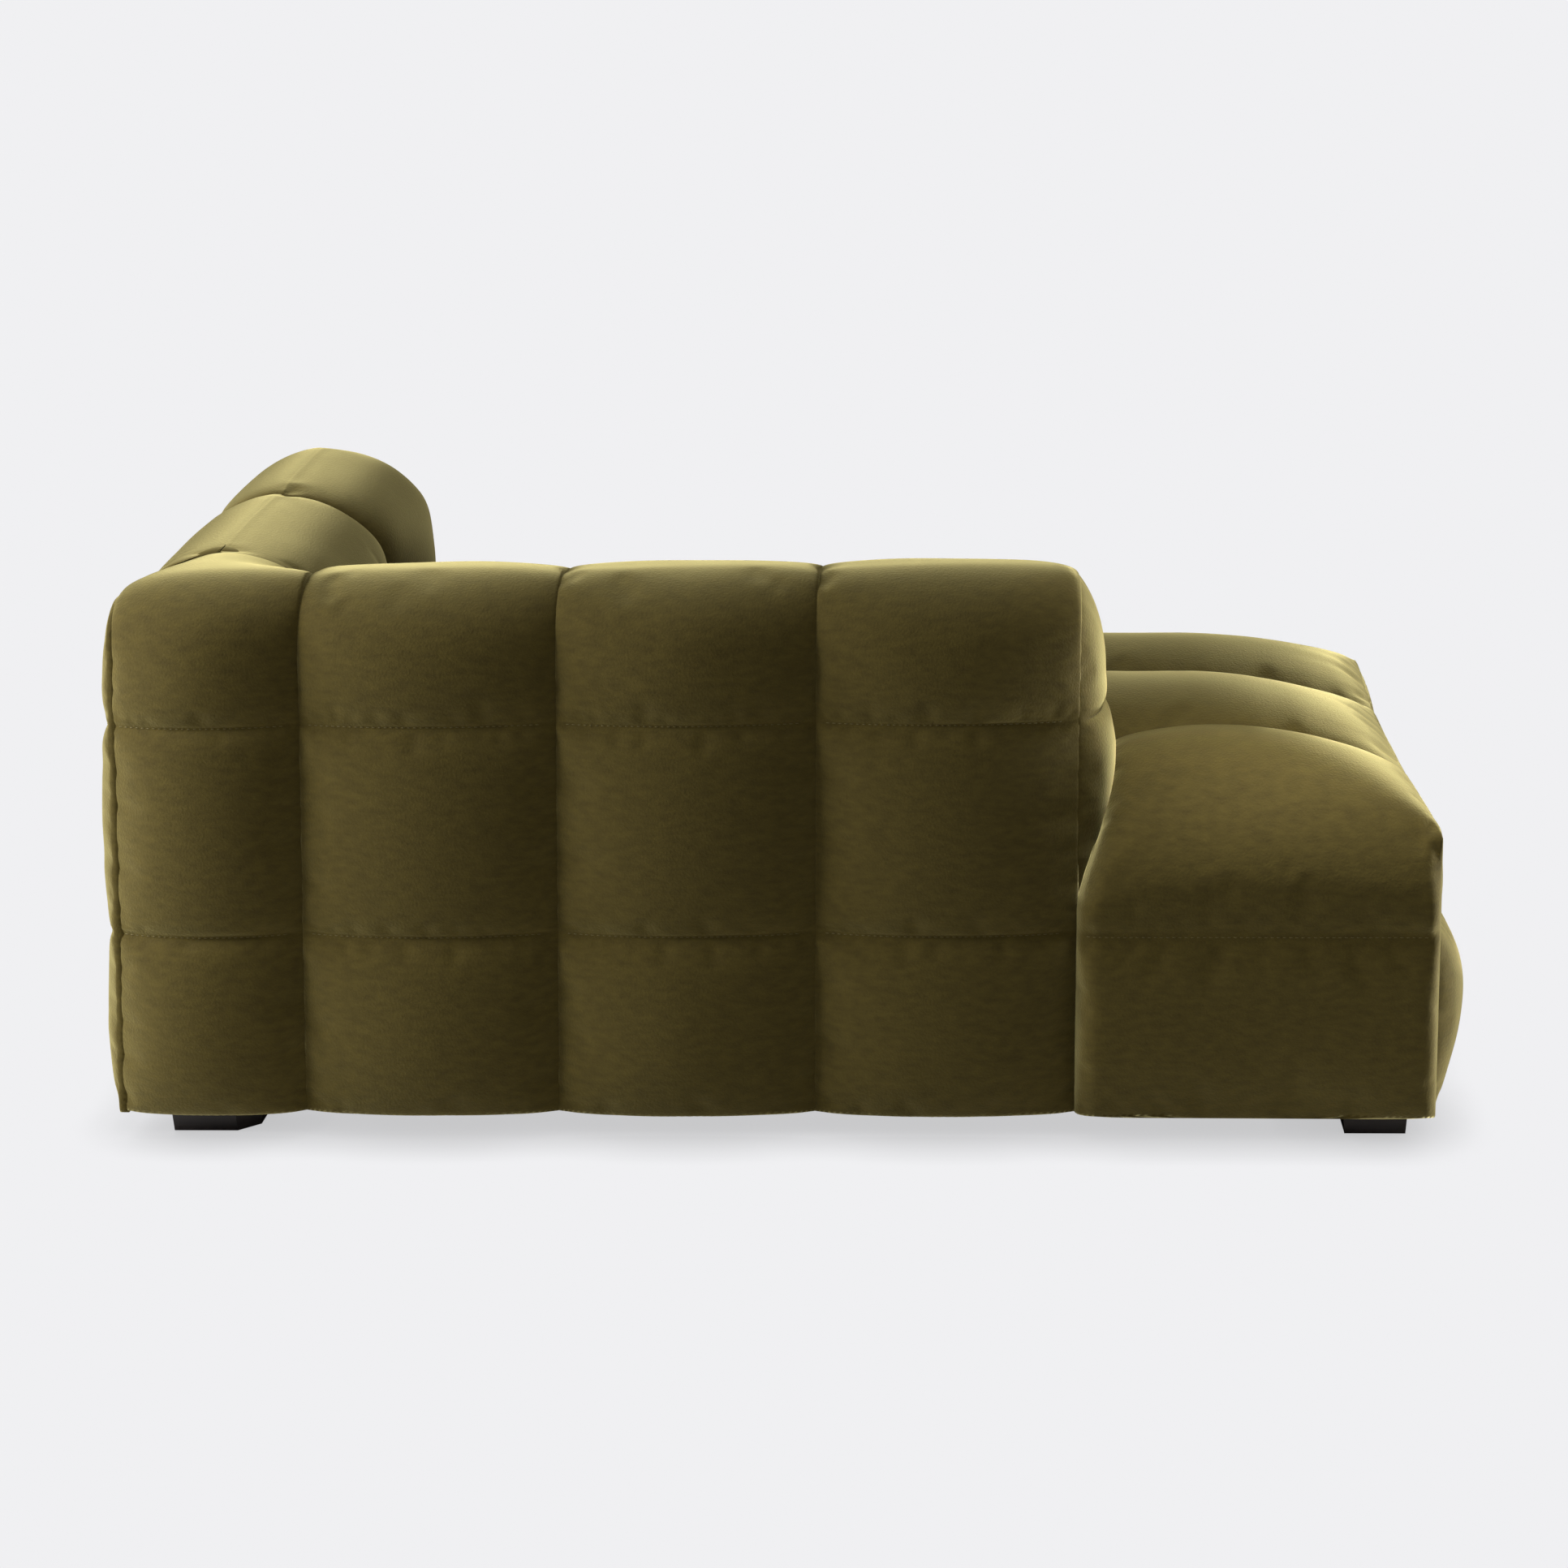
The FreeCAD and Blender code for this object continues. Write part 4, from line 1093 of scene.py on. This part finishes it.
def finish_material(name, dark, light, effect, scale, roughness, relief, relief_scale):
    """A Principled material whose colour runs between two colours and whose surface has a fine tooth."""
    material = bpy.data.materials.new(name)
    material.use_nodes = True
    tree = material.node_tree
    shader = tree.nodes["Principled BSDF"]
    shader.inputs["Roughness"].default_value = roughness
    pattern = tree.nodes.new("ShaderNodeGroup")
    pattern.node_tree = effect
    pattern.inputs["Scale"].default_value = scale
    ramp = tree.nodes.new("ShaderNodeValToRGB")
    ramp.color_ramp.elements[0].position = RAMP_LOW
    ramp.color_ramp.elements[1].position = RAMP_HIGH
    ramp.color_ramp.elements[0].color = (*dark, 1)
    ramp.color_ramp.elements[1].color = (*light, 1)
    tree.links.new(pattern.outputs["Shade"], ramp.inputs["Fac"])
    tree.links.new(ramp.outputs["Color"], shader.inputs["Base Color"])
    tooth = tree.nodes.new("ShaderNodeGroup")
    tooth.node_tree = tooth_group
    tooth.inputs["Scale"].default_value = relief_scale
    bump_node = tree.nodes.new("ShaderNodeBump")
    bump_node.inputs["Strength"].default_value = relief
    bump_node.inputs["Distance"].default_value = RELIEF_DEPTH
    tree.links.new(tooth.outputs["Height"], bump_node.inputs["Height"])
    tree.links.new(bump_node.outputs["Normal"], shader.inputs["Normal"])
    return material


# Each finish: a dark and a light colour, a pattern and its scale, roughness, relief and its scale.
FINISHES = {
    "velvet": ((0.049, 0.034, 0.005), (0.083, 0.060, 0.010), mottle_group, 55.0, 0.85, 0.80, 330.0),
    "foot_wood": ((0.016, 0.011, 0.010), (0.036, 0.026, 0.023), grain_group, 90.0, 0.42, 0.10, 500.0),
    "pine": ((0.42, 0.27, 0.13), (0.62, 0.45, 0.25), grain_group, 45.0, 0.62, 0.12, 400.0),
    "plywood": ((0.46, 0.32, 0.18), (0.60, 0.45, 0.28), grain_group, 30.0, 0.60, 0.10, 400.0),
    "foam": ((0.62, 0.58, 0.42), (0.74, 0.70, 0.54), mottle_group, 160.0, 0.90, 0.60, 450.0),
    "felt": ((0.16, 0.16, 0.17), (0.32, 0.31, 0.31), mottle_group, 120.0, 0.95, 0.60, 600.0),
    "webbing": ((0.10, 0.085, 0.065), (0.20, 0.17, 0.13), mottle_group, 220.0, 0.85, 0.50, 500.0),
    "cover_cloth": ((0.012, 0.012, 0.013), (0.026, 0.026, 0.028), mottle_group, 180.0, 0.90, 0.40, 700.0),
    "zinc_steel": ((0.48, 0.48, 0.50), (0.64, 0.65, 0.68), mottle_group, 140.0, 0.34, 0.08, 800.0),
    "glide_nylon": ((0.030, 0.030, 0.031), (0.045, 0.045, 0.047), mottle_group, 90.0, 0.48, 0.10, 600.0),
    "sewing_thread": ((0.105, 0.082, 0.020), (0.150, 0.118, 0.034), mottle_group, 400.0, 0.70, 0.20, 1500.0)}
materials = {name: finish_material(name, *finish) for name, finish in FINISHES.items()}
EXTRAS = {
    "velvet": {"Specular IOR Level": 0.15, "Sheen Weight": 1.0, "Sheen Roughness": 0.42,
               "Sheen Tint": (1.0, 0.87, 0.38, 1)},
    "zinc_steel": {"Metallic": 1.0}}
for name, extra in EXTRAS.items():
    for socket_name, value in extra.items():
        materials[name].node_tree.nodes["Principled BSDF"].inputs[socket_name].default_value = value
for piece in velvet_pieces:
    piece.data.materials.append(materials["velvet"])
thread_mesh.materials.append(materials["sewing_thread"])
print("finishes", list(materials))

# %% [markdown]
# Inside the cover stand the parts that came from CAD. Each node takes the finish of its record slot, picked
# here by the words in its name.

# %% Finishes of the CAD nodes
NODE_FINISH = [
    ("glides", "glide_nylon"), ("bolts", "zinc_steel"), ("nuts", "zinc_steel"), ("washers", "zinc_steel"),
    ("foot_", "foot_wood"), ("foam", "foam"), ("felt", "felt"), ("webbing", "webbing"),
    ("dust", "cover_cloth"), ("panel", "plywood"), ("rail", "pine"), ("post", "pine"), ("board", "pine"),
    ("block", "pine")]
replaced = {node for piece in velvet_pieces for node in piece["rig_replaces"]}
for node_name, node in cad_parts.items():
    if node_name in replaced:
        continue
    finish = next(slot_name for word, slot_name in NODE_FINISH if word in node_name)
    node.data.materials.clear()
    node.data.materials.append(materials[finish])
print("finished", len(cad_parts) - len(replaced), "CAD nodes")

# %% [markdown]
# The photograph is a bright studio cut-out. To the camera the floor glows in the backdrop's colour and
# darkens only close to the chaise, where an occlusion node finds it. Every other ray sees plain pale paint.

# %% Floor
BACKDROP = (0.871, 0.871, 0.888)
FLOOR_PAINT = (0.62, 0.62, 0.63)
FLOOR_REACH = 25
CONTACT_SHADE = (0.52, 0.52, 0.528)
CONTACT_REACH = 0.09
floor_corners = [(x * FLOOR_REACH, y * FLOOR_REACH, 0) for x, y in ((-1, -1), (1, -1), (1, 1), (-1, 1))]
floor_mesh = bpy.data.meshes.new("floor")
floor_mesh.from_pydata(floor_corners, [], [(0, 1, 2, 3)])
floor = linked("floor", floor_mesh)
floor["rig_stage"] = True
floor_paint = bpy.data.materials.new("floor_paint")
floor_paint.use_nodes = True
tree = floor_paint.node_tree
paint = tree.nodes["Principled BSDF"]
paint.inputs["Base Color"].default_value = (*FLOOR_PAINT, 1)
paint.inputs["Roughness"].default_value = 0.9
occlusion = tree.nodes.new("ShaderNodeAmbientOcclusion")
occlusion.samples = 16
occlusion.inputs["Distance"].default_value = CONTACT_REACH
fade = tree.nodes.new("ShaderNodeValToRGB")
fade.color_ramp.elements[0].position = 0.08
fade.color_ramp.elements[1].position = 0.92
fade.color_ramp.elements[0].color = (*CONTACT_SHADE, 1)
fade.color_ramp.elements[1].color = (*BACKDROP, 1)
glow = tree.nodes.new("ShaderNodeEmission")
path_kind = tree.nodes.new("ShaderNodeLightPath")
seen = tree.nodes.new("ShaderNodeMixShader")
tree.links.new(occlusion.outputs["AO"], fade.inputs["Fac"])
tree.links.new(fade.outputs["Color"], glow.inputs["Color"])
tree.links.new(path_kind.outputs["Is Camera Ray"], seen.inputs["Fac"])
tree.links.new(paint.outputs["BSDF"], seen.inputs[1])
tree.links.new(glow.outputs["Emission"], seen.inputs[2])
tree.links.new(seen.outputs["Shader"], tree.nodes["Material Output"].inputs["Surface"])
floor_mesh.materials.append(floor_paint)
print("floor reaches", FLOOR_REACH, "m each way")

# %% [markdown]
# A soft key from the upper left skims the arm, so that the columns' left flanks are bright while faces square
# to the camera stay deep. A low rim panel lifts the foot end, a narrow one overhead reaches the near seat in
# the arm's shadow, and a wide sun and the world fill in the rest.

# %% Light
FILL_STRENGTH = 0.07
KEY_PLACE = Vector((-2.50, -0.90, 1.35))
KEY_TARGET = Vector((0.0, -0.40, 0.40))
RIM_PLACE = Vector((2.30, -0.26, 0.15))
RIM_TARGET = Vector((0.80, -0.20, 0.25))
OVER_PLACE = Vector((0.60, -0.42, 1.40))
OVER_TARGET = Vector((0.62, -0.42, 0.45))
# Each panel: its place and target, watts, size in metres and spread in degrees.
PANELS = [
    ("key", KEY_PLACE, KEY_TARGET, 86, 1.2, 180), ("rim", RIM_PLACE, RIM_TARGET, 44, 0.4, 180),
    ("over", OVER_PLACE, OVER_TARGET, 1.1, 0.15, 50)]
SUN_DIRECTION = Vector((-0.10, -0.10, 0.98))
SUN_STRENGTH = 1.0
SUN_ANGLE = 50
for panel_name, place, target, power, size, spread_angle in PANELS:
    panel_data = bpy.data.lights.new(panel_name, "AREA")
    panel_data.energy = power
    panel_data.size = size
    panel_data.spread = math.radians(spread_angle)
    panel = linked(panel_name, panel_data)
    panel.location = place
    panel.rotation_euler = (place - target).to_track_quat("Z", "Y").to_euler()
    panel.visible_camera = False
    panel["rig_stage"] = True
sun_data = bpy.data.lights.new("top", "SUN")
sun_data.energy = SUN_STRENGTH
sun_data.angle = math.radians(SUN_ANGLE)
sun = linked("top", sun_data)
sun.rotation_euler = SUN_DIRECTION.to_track_quat("Z", "Y").to_euler()
sun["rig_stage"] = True
world = bpy.data.worlds.new("studio")
bpy.context.scene.world = world
world.use_nodes = True
tree = world.node_tree
fill = tree.nodes["Background"]
fill.inputs["Color"].default_value = (1, 1, 1, 1)
fill.inputs["Strength"].default_value = FILL_STRENGTH
backdrop = tree.nodes.new("ShaderNodeBackground")
backdrop.inputs["Color"].default_value = (*BACKDROP, 1)
path_kind = tree.nodes.new("ShaderNodeLightPath")
clear_view = math_node(
    tree, "MAXIMUM", path_kind.outputs["Is Camera Ray"], path_kind.outputs["Is Transmission Ray"])
seen = tree.nodes.new("ShaderNodeMixShader")
tree.links.new(clear_view, seen.inputs["Fac"])
tree.links.new(fill.outputs["Background"], seen.inputs[1])
tree.links.new(backdrop.outputs["Background"], seen.inputs[2])
tree.links.new(seen.outputs["Shader"], tree.nodes["World Output"].inputs["Surface"])
print("panels", len(PANELS), "fill", FILL_STRENGTH)

# %% Size of the dressed chaise
low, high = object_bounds()
print("dressed box", tuple(low), tuple(high))
